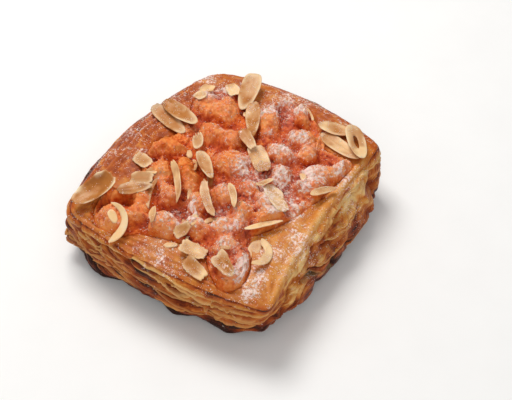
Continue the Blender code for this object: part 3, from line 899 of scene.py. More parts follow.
    def relieve_side(self, normals: Array) -> None:
        """Raise the layers, blisters and wrinkles of the side."""
        points = self.points
        level = self.side_level[:, None] + 0 * points[..., 0]
        edges, depths = self.layer_edges()
        last = len(edges) - 1
        index = np.clip((level[None] >= edges[:, None]).sum(0) - 1, 0, last)
        spoke = np.arange(self.spokes)[None, :]
        low = edges[index, spoke]
        high = np.where(index < last, edges[np.minimum(index + 1, last), spoke], 1.04)
        thick = np.clip(high - low, 1e-3, 0.3)
        part = np.clip((level - low) / thick, 0, 1)
        width = np.sqrt(np.clip(thick * self.layers, 0.1, 1.8))
        depth = depths[index, spoke] * width
        right = facing(self.turns, self.right, self.right_half)[None, :]
        calm = 1 - 0.88 * right
        ends = step_between(0.0, 0.08, level) * (1 - step_between(0.95, 1.0, level))
        shingle = (1 - part) ** 1.2 - 0.85 + 0.35 * np.sin(math.pi * part) * width
        out = self.layer_depth * depth * calm * shingle
        warped = points + 3 * MM * np.stack([noise(points, 12 * MM, 30 + axis) for axis in range(3)], -1)
        gap, own = pebbles(warped, self.lobe_size, 14)
        lobes = np.clip(1 - (gap / 0.75) ** 2, 0, 1)
        crease_shade = step_between(0.45, 0.8, gap)
        out += right * (lobes * (2.3 + 1.0 * own) - 1.4) * MM
        out += right * 0.45 * layered_noise(warped, 3 * MM, 2, 28) * MM
        line_gap, _ = pebbles(warped, (10 * MM, 10 * MM, 7 * MM), 17)
        wrinkle = step_between(0.84, 1.0, line_gap) * step_between(-0.3, 0.4, noise(points, 8 * MM, 26))
        folded = 1 - 2.2 * np.abs(layered_noise(warped, 6 * MM, 3, 27))
        out += right * (0.7 * wrinkle + 0.5 * folded) * MM
        out += noise(points, (7 * MM, 7 * MM, 1.4 * MM), 12) * 0.10 * MM
        out += layered_noise(points, 4.5 * MM, 2, 18) * 0.35 * MM
        out += layered_noise(points, 16 * MM, 3, 13) * 1.7 * MM
        out *= ends
        side = self.is_side[:, None]
        self.layer = (level - self.drift) * self.layers + right * (1.2 * gap + 1.5 * line_gap)
        self.flaky = np.where(side, 1.0, 0) + 0 * level
        # Painted shade: the top of each layer, tucked under the edge of the layer above, is darkened.
        recess = step_between(0.3, 0.95, part) * depth * calm
        # Pale lower edges of the layers and pale wrinkle lines of the right side, partly the dough's own pale torn
        # edges and partly painted highlight.
        lip_and_highlight = np.exp(-part * thick * self.layers * 7) * depth * (1 - 0.6 * right)
        lip_and_highlight *= (1 - 0.5 * right) * step_between(0.15, 0.45, level)
        lip_and_highlight *= step_between(-0.4, 0.5, noise(points, 11 * MM, 15))
        lip_and_highlight += 0.4 * right * wrinkle
        # Painted shade and light: each layer's protruding lower edge is lightened as a painted highlight, the
        # creases between the right side's lobes are darkened as painted shade, and the whole right side is lightened
        # as painted light.
        shade = 0.59 + 0.45 * recess - 0.08 * (1 - part) * depth + right * (0.30 * crease_shade - 0.27)
        # The raised folds of the right side are lightened as a painted highlight.
        shade += 0.20 * noise(points, (17 * MM, 17 * MM, 2.2 * MM), 29) - 0.10 * right * folded
        shade += 0.20 * right * (1 - step_between(0.40, 0.75, level))
        shade -= 0.07 * facing(self.turns, 272, 42)[None, :] * step_between(0.7, 0.95, level)
        shade += 0.26 * (1 - step_between(0.1, 0.6, level)) + 0.60 * (1 - step_between(0.0, 0.22, level))
        shade += 0.30 * layered_noise(points, 13 * MM, 3, 16) + 0.10 * noise(points, 2.5 * MM, 19)
        height = points[..., 2] / MM
        turn = np.broadcast_to(np.degrees(self.turns), height.shape)
        radius = self.around(self.rim_radius) / MM
        for swelling in self.swellings:
            raised, shaded = swelling.across(turn, height, radius)
            out += raised * MM
            shade += shaded
        for fold in self.folds:
            raised, shaded, edged = fold.across(turn, height, radius)
            out += raised * MM
            shade += shaded
            lip_and_highlight = lip_and_highlight + edged
        out = np.where(side, out, 0)
        self.points = points + normals * out[..., None]
        self.lip_and_highlight = np.where(side, np.clip(lip_and_highlight, 0, 1), 0) * 0.55
        self.shade = np.where(side, shade, 0)

    def relieve_top(self, normals: Array) -> None:
        """Raise the ridges, wrinkles and bubbles of the folded panels."""
        points = self.points
        inset = self.inset / MM
        turns = np.broadcast_to(self.turns, inset.shape)
        left = facing(turns, 180, 42, 20)
        far = facing(turns, 92, 42, 16)
        right = facing(turns, self.right, self.right_half, 12)
        front = facing(turns, 272, 42, 14)
        warp = layered_noise(points, 16 * MM, 2, 21)
        waves = np.sin(2 * math.pi * (inset / 3.6 + 1.1 * warp))
        ridges = left * (0.55 * waves + 0.2) * bell(inset - 7, 8)
        ridges += far * 0.3 * np.sin(2 * math.pi * (inset / 4.4 + warp)) * bell(inset - 5, 6)
        ridges += front * 0.35 * np.sin(2 * math.pi * (inset / 3.0 + 1.6 * warp)) * bell(inset - 4, 5)
        band = right * (1.1 * bell(inset - 2.6, 2.2) - 0.5 * bell(inset - 5.6, 1.4))
        gap, own = pebbles(points, 2.6 * MM, 22)
        bubbles = np.clip(1 - (gap / 0.5) ** 2, 0, 1) * np.clip(own, 0, 1) * 0.35
        rough = 0.30 * layered_noise(points, 5 * MM, 3, 23)
        fan = np.zeros_like(inset)
        for direction in self.corner_directions():
            tip = self.tip(direction)
            away = points[..., :2] - tip
            fold = np.sin(np.arctan2(away[..., 1], away[..., 0]) * 22 + 3 * warp)
            fan += 0.3 * fold * bell(np.hypot(away[..., 0], away[..., 1]) / MM, 14)
        out = (ridges + band + bubbles + rough + fan) * step_between(0, 1.5, inset) * MM
        top = self.is_top[:, None]
        self.points = points + normals * np.where(top, out, 0)[..., None]
        shade = 0.34 + 0.25 * left + 0.14 * far + 0.07 * front - 0.03 * right
        cell, _ = pebbles(points, 3.6 * MM, 25)
        crackle = step_between(0.45, 0.85, cell)
        shade += (left + 0.5 * far) * (0.02 - 0.20 * crackle)
        # Raised ridges and band are lightened and sunk ones darkened, as painted highlight and painted shade.
        shade += 0.16 * layered_noise(points, 9 * MM, 3, 24) - 0.10 * (ridges + band)
        shade += 0.20 * bell(inset, 1.2) * (1 - right) * (1 - front)
        past = self.inset > self.around(self.shelf)
        self.shade = np.where(top, np.where(past, 0.5, shade), self.shade)

    def reach(self, angles: Array, heights: Array) -> Array:
        """Return how far the finished side reaches out at some directions and heights."""
        spoke = np.searchsorted(self.turns, angles % (2 * math.pi)) % self.spokes
        share = np.clip(heights / self.around(self.rim_height)[spoke], 0, 1)
        row = 3 + np.rint(share * (self.side_rows - 1)).astype(int)
        return np.hypot(self.points[row, spoke, 0], self.points[row, spoke, 1])

    def corner_directions(self) -> list[float]:
        """Return the directions of the rim's four corners, where it reaches furthest out."""
        found = []
        for quarter in range(4):
            low, high = quarter * 90, quarter * 90 + 90
            degrees = np.degrees(self.angles)
            inside = (degrees >= low) & (degrees < high)
            found.append(float(degrees[inside][np.argmax(self.rim_radius[inside])]))
        return found

    def tip(self, direction: float) -> Array:
        """Return the rim's place in plan in a direction."""
        radius = np.interp(math.radians(direction), self.angles, self.rim_radius)
        return radius * np.array([math.cos(math.radians(direction)), math.sin(math.radians(direction))])

    def build(self) -> bpy.types.Object:
        """Build the crust.

        Returns:
            The closed crust mesh.
        """
        self.read_sections()
        self.base()
        normals = self.normals()
        self.relieve_side(normals)
        self.relieve_top(normals)
        self.shade[:3] = 0.8
        self.points = held_inside(self.points)
        self.points[..., 2] = np.maximum(self.points[..., 2], 0)
        rows = len(self.points)
        flat = self.points.reshape(-1, 3)
        foot = len(flat)
        caps = np.array([[0, 0, 0], [0, 0, self.points[-1, :, 2].mean()]])
        faces = grid_faces(rows, self.spokes, True).tolist()
        last = (rows - 1) * self.spokes
        for spoke in range(self.spokes):
            after = (spoke + 1) % self.spokes
            faces.append((foot, after, spoke))
            faces.append((foot + 1, last + spoke, last + after))
        sugar = sugar_density(self.points) * np.where(self.is_top, 1.0, 0.75)[:, None]
        marks = {"shade": self.shade, "lip_and_highlight": self.lip_and_highlight, "sugar": sugar,
                 "layer": self.layer, "flaky": self.flaky}
        marks = {label: np.append(values.ravel(), [0, 0]) for label, values in marks.items()}
        piece = make_piece("crust", np.concatenate([flat, caps]), faces, marks)
        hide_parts("dough")
        return piece


# The paste


@dataclass
class Paste:
    """The orange almond paste as one crumbly, lumpy mesh."""

    across: int = 290
    overlap: float = 2.2 * MM
    edge_drop: float = 6.0 * MM
    floor: float = 27.5 * MM
    blur: float = 1.3
    hug: float = 4.0 * MM
    skirt: float = 3.0

    def outline(self, surface: Surfaces, angles: Array) -> Array:
        """Return the paste's reach in each direction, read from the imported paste."""
        reach = np.arange(75, 20, -0.4) * MM
        heights = surface.heights(np.outer(np.cos(angles), reach), np.outer(np.sin(angles), reach))
        found = reach[np.argmax(~np.isnan(heights), axis=1)]
        return blurred(found, 1.5, 0, True)

    def plan(self, surface: Surfaces) -> tuple[Array, Array, Array]:
        """Spread a square grid over the paste's outline.

        Returns:
            The grid's x and y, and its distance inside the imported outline.
        """
        angles = np.arange(360) / 360 * 2 * math.pi
        outline = self.outline(surface, angles)
        unit = np.linspace(-1, 1, self.across)
        u, v = np.meshgrid(unit, unit)
        ring = np.maximum(np.abs(u), np.abs(v))
        disc_x = u * np.sqrt(1 - v * v / 2)
        disc_y = v * np.sqrt(1 - u * u / 2)
        angle = np.arctan2(disc_y, disc_x)
        share = np.hypot(disc_x, disc_y)
        reach = np.interp(angle, angles, outline, period=2 * math.pi)
        radius = share * (reach + self.overlap)
        self.border = ring >= 1 - 1e-9
        return radius * np.cos(angle), radius * np.sin(angle), reach - radius

    def build(self, flakes: list[bpy.types.Object]) -> bpy.types.Object:
        """Build the paste, pressed up against the flakes that lie on it.

        Args:
            flakes: The finished almond flakes.

        Returns:
            The closed paste mesh.
        """
        surface = Surfaces([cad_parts["paste"]])
        x, y, inside = self.plan(surface)
        radius = np.hypot(x, y)
        pulled = np.minimum(1, (radius + inside - 0.5 * MM) / np.maximum(radius, MM))
        heights = np.nan_to_num(surface.heights(x * pulled, y * pulled), nan=35 * MM)
        heights = blurred(blurred(heights, self.blur, 0, False), self.blur, 1, False)
        wide = blurred(blurred(heights, 13, 0, False), 13, 1, False)
        heights = heights + 0.7 * (heights - wide)
        flat = np.stack([x, y, heights], -1)
        flat = flat + 1.2 * MM * np.stack([noise(flat, 5 * MM, 28 + axis) for axis in range(3)], -1)
        ball, own = pebbles(flat, 5.2 * MM, 31)
        small, tiny = pebbles(flat, 2.3 * MM, 35)
        grain, crumb = pebbles(flat, 1.2 * MM, 39)
        relief = 0.9 * np.sqrt(np.clip(1 - (ball / 0.95) ** 2, 0, 1)) * (0.8 + 0.9 * own)
        relief += 0.50 * np.sqrt(np.clip(1 - (small / 0.8) ** 2, 0, 1)) * (0.8 + 0.8 * tiny)
        relief += 0.46 * np.sqrt(np.clip(1 - (grain / 0.8) ** 2, 0, 1)) * (0.8 + 0.8 * crumb)
        relief += 0.9 * layered_noise(flat, 8 * MM, 4, 43) + 0.38 * noise(flat, 0.9 * MM, 44)
        relief += 0.55 * layered_noise(flat, 3 * MM, 3, 45)
        edge = step_between(-1.6, 1.6, inside / MM + 1.0 * noise(flat, 4 * MM, 47))
        heights = heights + (relief - 1.3) * MM * (0.35 + 0.65 * edge)
        heights = np.maximum(heights - (1 - edge) ** 1.5 * self.edge_drop, self.floor + 0.5 * MM)
        points = np.stack([x, y, heights], -1)
        covered, under = self.press(points.reshape(-1, 3), flakes)
        under = under.reshape(heights.shape)
        lift = covered.reshape(heights.shape) - heights
        beside = blurred(blurred(np.maximum(lift, 0), self.skirt, 0, False), self.skirt, 1, False)
        points[..., 2] = heights + np.where(under > 0, lift, beside)
        # Painted shade: the creases between lumps, the low places and the gaps between crumbs are darkened.
        crease_shade = step_between(0.65, 1.0, ball) * 0.5 + step_between(0.5, 0.9, small) * 0.25
        low = step_between(0.8, -1.4, (heights - wide) / MM) * step_between(-1.0, 3.0, inside / MM)
        shade = 0.23 + crease_shade * (0.2 + 0.8 * low) + 0.35 * low + 0.3 * layered_noise(flat, 6 * MM, 3, 51)
        shade += 0.10 * (step_between(0.4, 0.9, grain) - 0.5) + 0.10 * noise(flat, 1.6 * MM, 52)
        # Painted shadow under the flakes, and the paste's outer wall lightened as painted light.
        shade += 0.15 * under - 0.22 * (1 - step_between(-1.0, 4.0, inside / MM))
        peak = 1.15 - 0.5 * step_between(0.6, 1.0, ball) - 0.35 * step_between(0.4, 0.9, small)
        sugar = 1.3 * sugar_density(points) * peak * (1 - 0.45 * low) * step_between(-1, 1, inside / MM)
        return self.close(points, shade, sugar)

    def press(self, points: Array, flakes: list[bpy.types.Object]) -> tuple[Array, Array]:
        """Fit the top to the undersides of the flakes that lie close above it.

        Returns:
            The new heights, and 1 for points under a flake.
        """
        above = Surfaces(flakes).undersides(points)
        gap = above - points[:, 2]
        hold = 1 - step_between(self.hug / 3, self.hug, gap)
        target = np.where(np.isfinite(above), above, 0) - 0.12 * MM
        return points[:, 2] + hold * (target - points[:, 2]), hold

    def close(self, points: Array, shade: Array, sugar: Array) -> bpy.types.Object:
        """Close the top with a wall and a flat underside."""
        side = self.across
        top = points.reshape(-1, 3)
        index = np.arange(side * side).reshape(side, side)
        loop = np.concatenate([index[0, :-1], index[:-1, -1], index[-1, :0:-1], index[:0:-1, 0]])
        wall = top[loop].copy()
        wall[:, 2] = self.floor
        first = len(top)
        faces = grid_faces(side, side, False).tolist()
        count = len(loop)
        for place in range(count):
            after = (place + 1) % count
            faces.append((loop[after], loop[place], first + place, first + after))
            faces.append((first + count, first + after, first + place))
        middle = np.array([[0.0, 0.0, self.floor]])
        marks = {"shade": shade, "sugar": sugar, "lip_and_highlight": 0 * shade}
        marks = {label: np.append(values.ravel(), np.zeros(count + 1)) for label, values in marks.items()}
        faces = [tuple(int(corner) for corner in face) for face in faces]
        piece = make_piece("almond_paste", np.concatenate([top, wall, middle]), faces, marks)
        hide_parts("paste")
        return piece


# Almond flakes


class Outline(Enum):
    """How a flake is cut or broken."""

    OVAL = "oval"
    RING = "ring"
    HORSESHOE = "horseshoe"
    CRESCENT = "crescent"


@dataclass(frozen=True)
class FlakeStyle:
    """How one almond flake looks: shade from 0, pale, to 1, dark; and how its outline is made."""

    shade: float = 0.35
    outline: Outline = Outline.OVAL
    blunt: float = 2.3
    taper: float = 0.16
    curve: float = 0.0
    broken: float = 1.0
    ragged: float = 0.05
    jagged: float = 0.0
    sugar: float = 0.3
    cup: float = 0.0
    hole: float = 0.0
    burnt: float = 0.0
    lip_and_highlight: float = 0.7


FLAKE_STYLES = {
    "flake_cupped_left": FlakeStyle(0.74, blunt=2.4, ragged=0.07, cup=1.8, sugar=0.0, lip_and_highlight=1.0),
    "flake_crescent_left": FlakeStyle(0.05, Outline.CRESCENT, hole=0.60, sugar=0.0, lip_and_highlight=1.3),
    "flake_corner_square": FlakeStyle(0.22, blunt=3.4, broken=0.8, ragged=0.08, sugar=0.2),
    "flake_thin_leaf": FlakeStyle(0.74, blunt=1.9, taper=0.3, ragged=0.08, sugar=0.0, lip_and_highlight=0.6),
    "flake_stub_left": FlakeStyle(0.36, blunt=3.0, broken=0.7, ragged=0.08, sugar=0.4),
    "flake_brown_far_left": FlakeStyle(0.68, blunt=2.6, ragged=0.05, sugar=0.15, burnt=0.3),
    "flake_golden_far_left": FlakeStyle(0.48, blunt=2.3, ragged=0.04, cup=0.5, sugar=0.05, burnt=0.5),
    "flake_broken_upright": FlakeStyle(0.42, blunt=2.8, taper=0, broken=0.5, ragged=0.05, jagged=0.5, sugar=0.0),
    "flake_oval_centre": FlakeStyle(0.62, blunt=2.0, taper=0.35, ragged=0.04, sugar=0.0, cup=0.5),
    "flake_pale_finger": FlakeStyle(0.38, blunt=2.4, curve=0.5, ragged=0.10, sugar=0.1),
    "flake_far_leaning": FlakeStyle(0.52, blunt=2.3, taper=0.3, ragged=0.03, sugar=0.2, cup=0.4),
    "flake_far_lower": FlakeStyle(0.52, blunt=2.0, taper=0.35, ragged=0.06, sugar=0.4),
    "flake_far_chunk": FlakeStyle(0.15, broken=0.75, ragged=0.15, sugar=0.5),
    "flake_far_crust": FlakeStyle(0.2, broken=0.8, ragged=0.16, sugar=0.4),
    "flake_square_middle": FlakeStyle(0.34, blunt=3.2, broken=0.85, ragged=0.08, sugar=0.45),
    "flake_pale_wedge": FlakeStyle(0.28, broken=0.7, taper=0.3, ragged=0.12, sugar=0.6),
    "flake_sugared_large": FlakeStyle(0.24, blunt=2.6, ragged=0.12, sugar=0.9),
    "flake_long_curved": FlakeStyle(0.38, blunt=2.6, curve=-0.7, ragged=0.14, sugar=0.4),
    "flake_ridge_sliver": FlakeStyle(0.30, blunt=2.2, curve=0.4, ragged=0.04, sugar=0.3),
    "flake_edge_long": FlakeStyle(0.05, blunt=2.2, curve=0.5, ragged=0.06, sugar=0.3),
    "flake_right_under": FlakeStyle(0.40, blunt=2.3, ragged=0.03, sugar=0.1),
    "flake_right_upper": FlakeStyle(0.25, blunt=2.1, ragged=0.04, sugar=0.2),
    "flake_right_ring": FlakeStyle(0.22, Outline.RING, blunt=2.4, ragged=0.02, sugar=0.0, hole=0.30),
    "flake_front_irregular": FlakeStyle(0.28, blunt=2.2, broken=0.85, ragged=0.26, sugar=0.0),
    "flake_front_tan": FlakeStyle(0.25, blunt=2.8, broken=0.85, ragged=0.10, sugar=0.0),
    "flake_front_translucent": FlakeStyle(0.60, blunt=2.2, taper=0.4, ragged=0.18, sugar=0.6),
    "flake_horseshoe": FlakeStyle(0.06, Outline.HORSESHOE, hole=0.45, ragged=0.14, sugar=0.05),
    "flake_far_small": FlakeStyle(0.2, broken=0.8, ragged=0.15, sugar=0.4),
    "flake_thin_edge": FlakeStyle(0.30, blunt=2.2, curve=0.4, ragged=0.06, sugar=0.4),
    "flake_centre_bar": FlakeStyle(0.30, blunt=3.4, broken=0.9, ragged=0.08, sugar=0.5),
    "flake_left_sliver": FlakeStyle(0.28, blunt=2.2, taper=0.4, broken=0.9, ragged=0.08, sugar=0.0),
    "flake_inner_block": FlakeStyle(0.3, broken=0.8, ragged=0.2, sugar=0.5),
}


@dataclass
class FlakeFrame:
    """Where a flake lies: its middle, axes, half-sizes and the bend of its middle surface."""

    middle: Array
    axes: Array
    half: Array
    bend: Array

    @classmethod
    def of_node(cls, node: str, arched: bool) -> "FlakeFrame":
        """Measure a packed flake.

        Args:
            node: The flake's node.
            arched: Whether the flake is an open arc, whose bulge then points along its second axis.

        Returns:
            Its frame, with the narrow end of a plain flake at the far end of the first axis.
        """
        points = np.array([vertex.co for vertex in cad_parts[node].data.vertices])
        centred = points - points.mean(0)
        _, _, axes = np.linalg.svd(centred, full_matrices=False)
        if axes[2, 2] < 0:
            axes[2] *= -1
        axes[1] = np.cross(axes[2], axes[0])
        along = centred @ axes[0]
        across = centred @ axes[1]
        turned = (np.abs(across) * along).sum() > 0
        if arched:
            share = np.abs(along) / np.abs(along).max()
            turned = across[share > 0.8].mean() > across[share < 0.3].mean()
        if turned:
            axes[:2] *= -1
        local = (points - points.mean(0)) @ axes.T
        low, high = local.min(0), local.max(0)
        middle = points.mean(0) + ((low + high) / 2 * np.array([1, 1, 0])) @ axes
        local = (points - middle) @ axes.T
        a, b = local[:, 0], local[:, 1]
        terms = np.stack([np.ones_like(a), a, b, a * a, a * b, b * b], -1)
        bend = np.linalg.lstsq(terms, local[:, 2], rcond=None)[0]
        return cls(middle, axes, (high - low) / 2, bend)

    def place(self, plan: Array, lift: Array) -> Array:
        """Put flat points with a height over the middle surface into the row frame."""
        a, b = plan[..., 0], plan[..., 1]
        terms = np.stack([np.ones_like(a), a, b, a * a, a * b, b * b], -1)
        local = np.stack([a, b, terms @ self.bend + lift], -1)
        return self.middle + local @ self.axes


@dataclass
class FlakeShape:
    """Makes one almond flake as a thin closed plate."""

    name: str
    style: FlakeStyle
    where: FlakeFrame
    seed: int
    turns: int = 72
    rings: int = 10
    thickness: float = 0.6 * MM

    def arch(self) -> tuple[Array, Array]:
        """Return the outer and inner edge of an open arc that bulges along the second axis."""
        style = self.style
        share = np.linspace(-1, 1, self.turns)
        sweep = np.radians(share * 92)
        circle = np.stack([share * 12, 0 * share, 0 * share + self.seed * 3.7], -1)
        wobble = 1 + style.ragged * (noise(circle, 4.0, 61) + 0.6 * noise(circle, 1.5, 62))
        band = (1 - style.hole) * (1 - 0.45 * np.abs(share) ** 3)
        if style.outline is Outline.CRESCENT:
            band = (1 - style.hole) * (1.05 + 0.35 * share) * (1 - np.abs(share) ** 5 * 0.8)
        edges = []
        for radius in (np.ones_like(share), 1 - band * wobble):
            x, y = radius * np.sin(sweep), radius * np.cos(sweep)
            edges.append(np.stack([x, (y - np.cos(sweep[0])) * 2 / (1 - np.cos(sweep[0])) - 1], -1))
        return edges[0], edges[1]

    def outlines(self) -> tuple[Array, Array]:
        """Return the outer edge, and the inner edge or middle, of the plate."""
        style = self.style
        if style.outline in (Outline.HORSESHOE, Outline.CRESCENT):
            return self.arch()
        sweep = np.arange(self.turns) / self.turns * 2 * math.pi
        power = 2 / style.blunt
        cosine, sine = np.cos(sweep), np.sin(sweep)
        x = np.sign(cosine) * np.abs(cosine) ** power
        y = np.sign(sine) * np.abs(sine) ** power * (1 - style.taper * cosine)
        circle = np.stack([cosine * 9, sine * 9, 0 * sine + self.seed * 3.7], -1)
        wobble = 1 + style.ragged * (noise(circle, 5.0, 61) + 0.6 * noise(circle, 1.8, 62))
        x, y = x * wobble, y * wobble
        if style.broken < 1:
            bite = style.broken * (1 + 0.12 * noise(circle * np.array([0.2, 1, 1]), 1.5, 63))
            bite += style.jagged * np.abs(np.sin(7 * y))
            x = np.clip(x, -1, bite) / (1 + style.broken) * 2
            x = x - (x.max() + x.min()) / 2
        y = y + style.curve * (1 - x * x)
        y = y - (y.max() + y.min()) / 2
        outer = np.stack([x, y], -1) / np.array([np.abs(x).max(), np.abs(y).max()])
        middle = np.array([0, style.curve / (1 + abs(style.curve))])
        inner = (outer - middle) * 0.03 + middle
        if style.outline is Outline.RING:
            inner = outer * np.array([style.hole * 1.25, style.hole * 0.75])
        return outer, inner

    def mesh(self) -> tuple[Array, list, dict[str, Array]]:
        """Return the plate's points, faces and marks."""
        outer, inner = self.outlines()
        share = np.linspace(0, 1, self.rings) ** 0.8
        half = self.where.half[:2]
        plan = inner + (outer - inner) * share[:, None, None]
        spread = plan * half
        holed = self.style.outline is not Outline.OVAL
        closed = self.style.outline in (Outline.OVAL, Outline.RING)
        edge = np.clip((1 - share) / 0.12, 0, 1)
        if holed:
            edge = np.minimum(edge, np.clip(share / 0.12, 0, 1))
        body = 0.28 + 0.72 * np.sqrt(1 - (1 - edge) ** 2)
        deep = np.concatenate([spread, 0 * spread[..., :1] + self.seed * 0.05], -1)
        warp = 0.28 * MM * noise(deep, 6 * MM, 64) + 0.08 * MM * noise(deep, 2 * MM, 65)
        ridge = 0.10 * MM * bell(plan[..., 1], 0.12)
        radial = np.hypot(plan[..., 0], plan[..., 1])
        cup = self.style.cup * MM * np.clip(radial, 0, 1.1) ** 3
        thick = self.thickness / 2 * body[:, None]
        top = self.where.place(spread, warp + ridge + cup + thick)
        bottom = self.where.place(spread, warp + cup - thick)
        grid = self.rings * self.turns
        points = np.concatenate([top.reshape(-1, 3), bottom.reshape(-1, 3)])
        faces = grid_faces(self.rings, self.turns, closed).tolist()
        faces += grid_faces(self.rings, self.turns, closed, grid)[:, ::-1].tolist()
        faces += self.walls(grid, holed, closed)
        # Painted highlight: the rim of a flake is paled towards its edge, in patches.
        rim = np.broadcast_to(step_between(0.50, 0.98, share)[:, None], radial.shape)
        if self.style.outline in (Outline.HORSESHOE, Outline.CRESCENT):
            rim = 0 * rim + 0.5
        shade = self.style.shade + 0.38 * noise(deep, 6 * MM, 66) + 0.14 * noise(deep, 2 * MM, 67)
        shade = np.minimum(shade, 0.76)
        shade = shade + 0.6 * self.style.burnt * step_between(0.5, 1.0, -plan[..., 0])
        frayed = step_between(-0.35, 0.35, noise(deep, 7 * MM, 68) + 0.25 * noise(deep, 2 * MM, 69))
        lip_and_highlight = np.clip(self.style.lip_and_highlight * rim * frayed, 0, 1) * (1 - self.style.burnt * (plan[..., 0] < 0))
        marks = {"shade": shade, "lip_and_highlight": lip_and_highlight, "sugar": 0 * shade + self.style.sugar}
        marks = {label: np.tile(values.ravel(), 2) for label, values in marks.items()}
        return points, faces, marks

    def walls(self, grid: int, holed: bool, closed: bool) -> list:
        """Return the faces round the plate's edges."""
        faces = []
        span = self.turns if closed else self.turns - 1
        last = (self.rings - 1) * self.turns
        for turn in range(span):
            after = (turn + 1) % self.turns
            faces.append((last + turn, last + after, grid + last + after, grid + last + turn))
            if holed:
                faces.append((after, turn, grid + turn, grid + after))
        if not holed:
            faces.append(tuple(reversed(range(self.turns))))
            faces.append(tuple(grid + turn for turn in range(self.turns)))
        if not closed:
            for end, flip in ((0, False), (self.turns - 1, True)):
                for ring in range(self.rings - 1):
                    low, high = ring * self.turns + end, (ring + 1) * self.turns + end
                    face = (low, high, grid + high, grid + low)
                    faces.append(face[::-1] if flip else face)
        return faces

    def build(self) -> bpy.types.Object:
        """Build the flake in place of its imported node."""
        points, faces, marks = self.mesh()
        low, high = np.array(CAD_BOX[0]) + EDGE_SPARE, np.array(CAD_BOX[1]) - EDGE_SPARE
        piece = make_piece(self.name + "_slice", np.clip(points, low, high), faces, marks)
        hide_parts(self.name)
        return piece


def build_flakes() -> list[bpy.types.Object]:
    """Build every almond flake.

    Returns:
        The flake pieces.
    """
    pieces = []
    for seed, (name, style) in enumerate(FLAKE_STYLES.items()):
        arched = style.outline in (Outline.HORSESHOE, Outline.CRESCENT)
        pieces.append(FlakeShape(name, style, FlakeFrame.of_node(name, arched), seed).build())
    return pieces


@dataclass
class Slivers:
    """Small slivers of almond pressed into the paste, too slight to be parts of their own."""

    places: tuple = (
        (-13, -9, -51, 12, 3.0, 0, 0.2), (-20, -4, -31, 5, 3.4, 0, 0.2), (34, 13, -50, 8, 3.0, 0.3, 0.2),
        (29, -42, 28, 4.5, 2.4, 0, 0.2), (6, -52, 35, 6.7, 2.9, 0, 0.15), (7, -42, -44, 12, 3.0, 0.4, 0.2),
        (11, 54, -33, 10, 2.4, 0, 0.2), (-3, -26, -60, 7, 2.2, 0.3, 0.2), (-19, -34, 111, 22, 3.4, 1.6, 0.75),
        (-23.5, -56.5, -25, 7, 4.0, 0, 0.15), (-4, -9, -45, 14, 3.6, 0.3, 0.7), (14, -33, 60, 7, 2.6, 0.5, 0.5),
        (37.5, -31.5, 100, 10, 6.0, 0.2, 0.12), (-26, -24, -20, 9, 5.0, 0.2, 0.25),
        (9, -38, -60, 9, 3.0, 0.4, 0.15), (1, 18, -60, 9, 3.6, 0.3, 0.2), (-13, 34, -62, 8, 4.0, 0.2, 0.2),
    )
    thickness: float = 0.8 * MM

    def build(self, ground: Surfaces) -> bpy.types.Object:
        """Lay the slivers on the ground surfaces as one joined piece."""
        all_points = []
        all_faces = []
        all_marks: dict[str, list] = {"shade": [], "lip_and_highlight": [], "sugar": []}
        first = 0
        for seed, (x, y, heading, length, width, curve, shade) in enumerate(self.places):
            turn = math.radians(heading)
            along = np.array([math.cos(turn), math.sin(turn)])
            ends = np.array([[x, y] - along * length / 3, [x, y] + along * length / 3]) * MM
            heights = ground.heights(ends[:, 0], ends[:, 1], 34 * MM)
            slope = (heights[1] - heights[0]) / (length * 2 / 3 * MM)
            slope = float(np.clip(slope, -0.5, 0.5))
            first_axis = np.array([*along, slope]) / math.hypot(1, slope)
            third = np.cross(first_axis, np.array([-along[1], along[0], 0]))
            third = third / np.linalg.norm(third)
            second = np.cross(third, first_axis)
            middle = np.array([x * MM, y * MM, heights.mean() + 0.25 * MM])
            bend = np.array([0, 0, 0, -4.0, 0, 0])
            half = np.array([length, width, 1]) / 2 * MM
            where = FlakeFrame(middle, np.array([first_axis, second, third]), half, bend)
            style = FlakeStyle(shade, curve=curve, ragged=0.1, sugar=0.2, blunt=2.4)
            shape = FlakeShape("sliver", style, where, seed + 50, turns=40, rings=6,
                               thickness=self.thickness)
            points, faces, marks = shape.mesh()
            all_points.append(points)
            all_faces += [[corner + first for corner in face] for face in faces]
            for label, values in marks.items():
                all_marks[label].append(values)
            first += len(points)
        marks = {label: np.concatenate(values) for label, values in all_marks.items()}
        piece = make_piece("almond_slivers", np.concatenate(all_points), all_faces, marks)
        return piece


# Flaky leaves


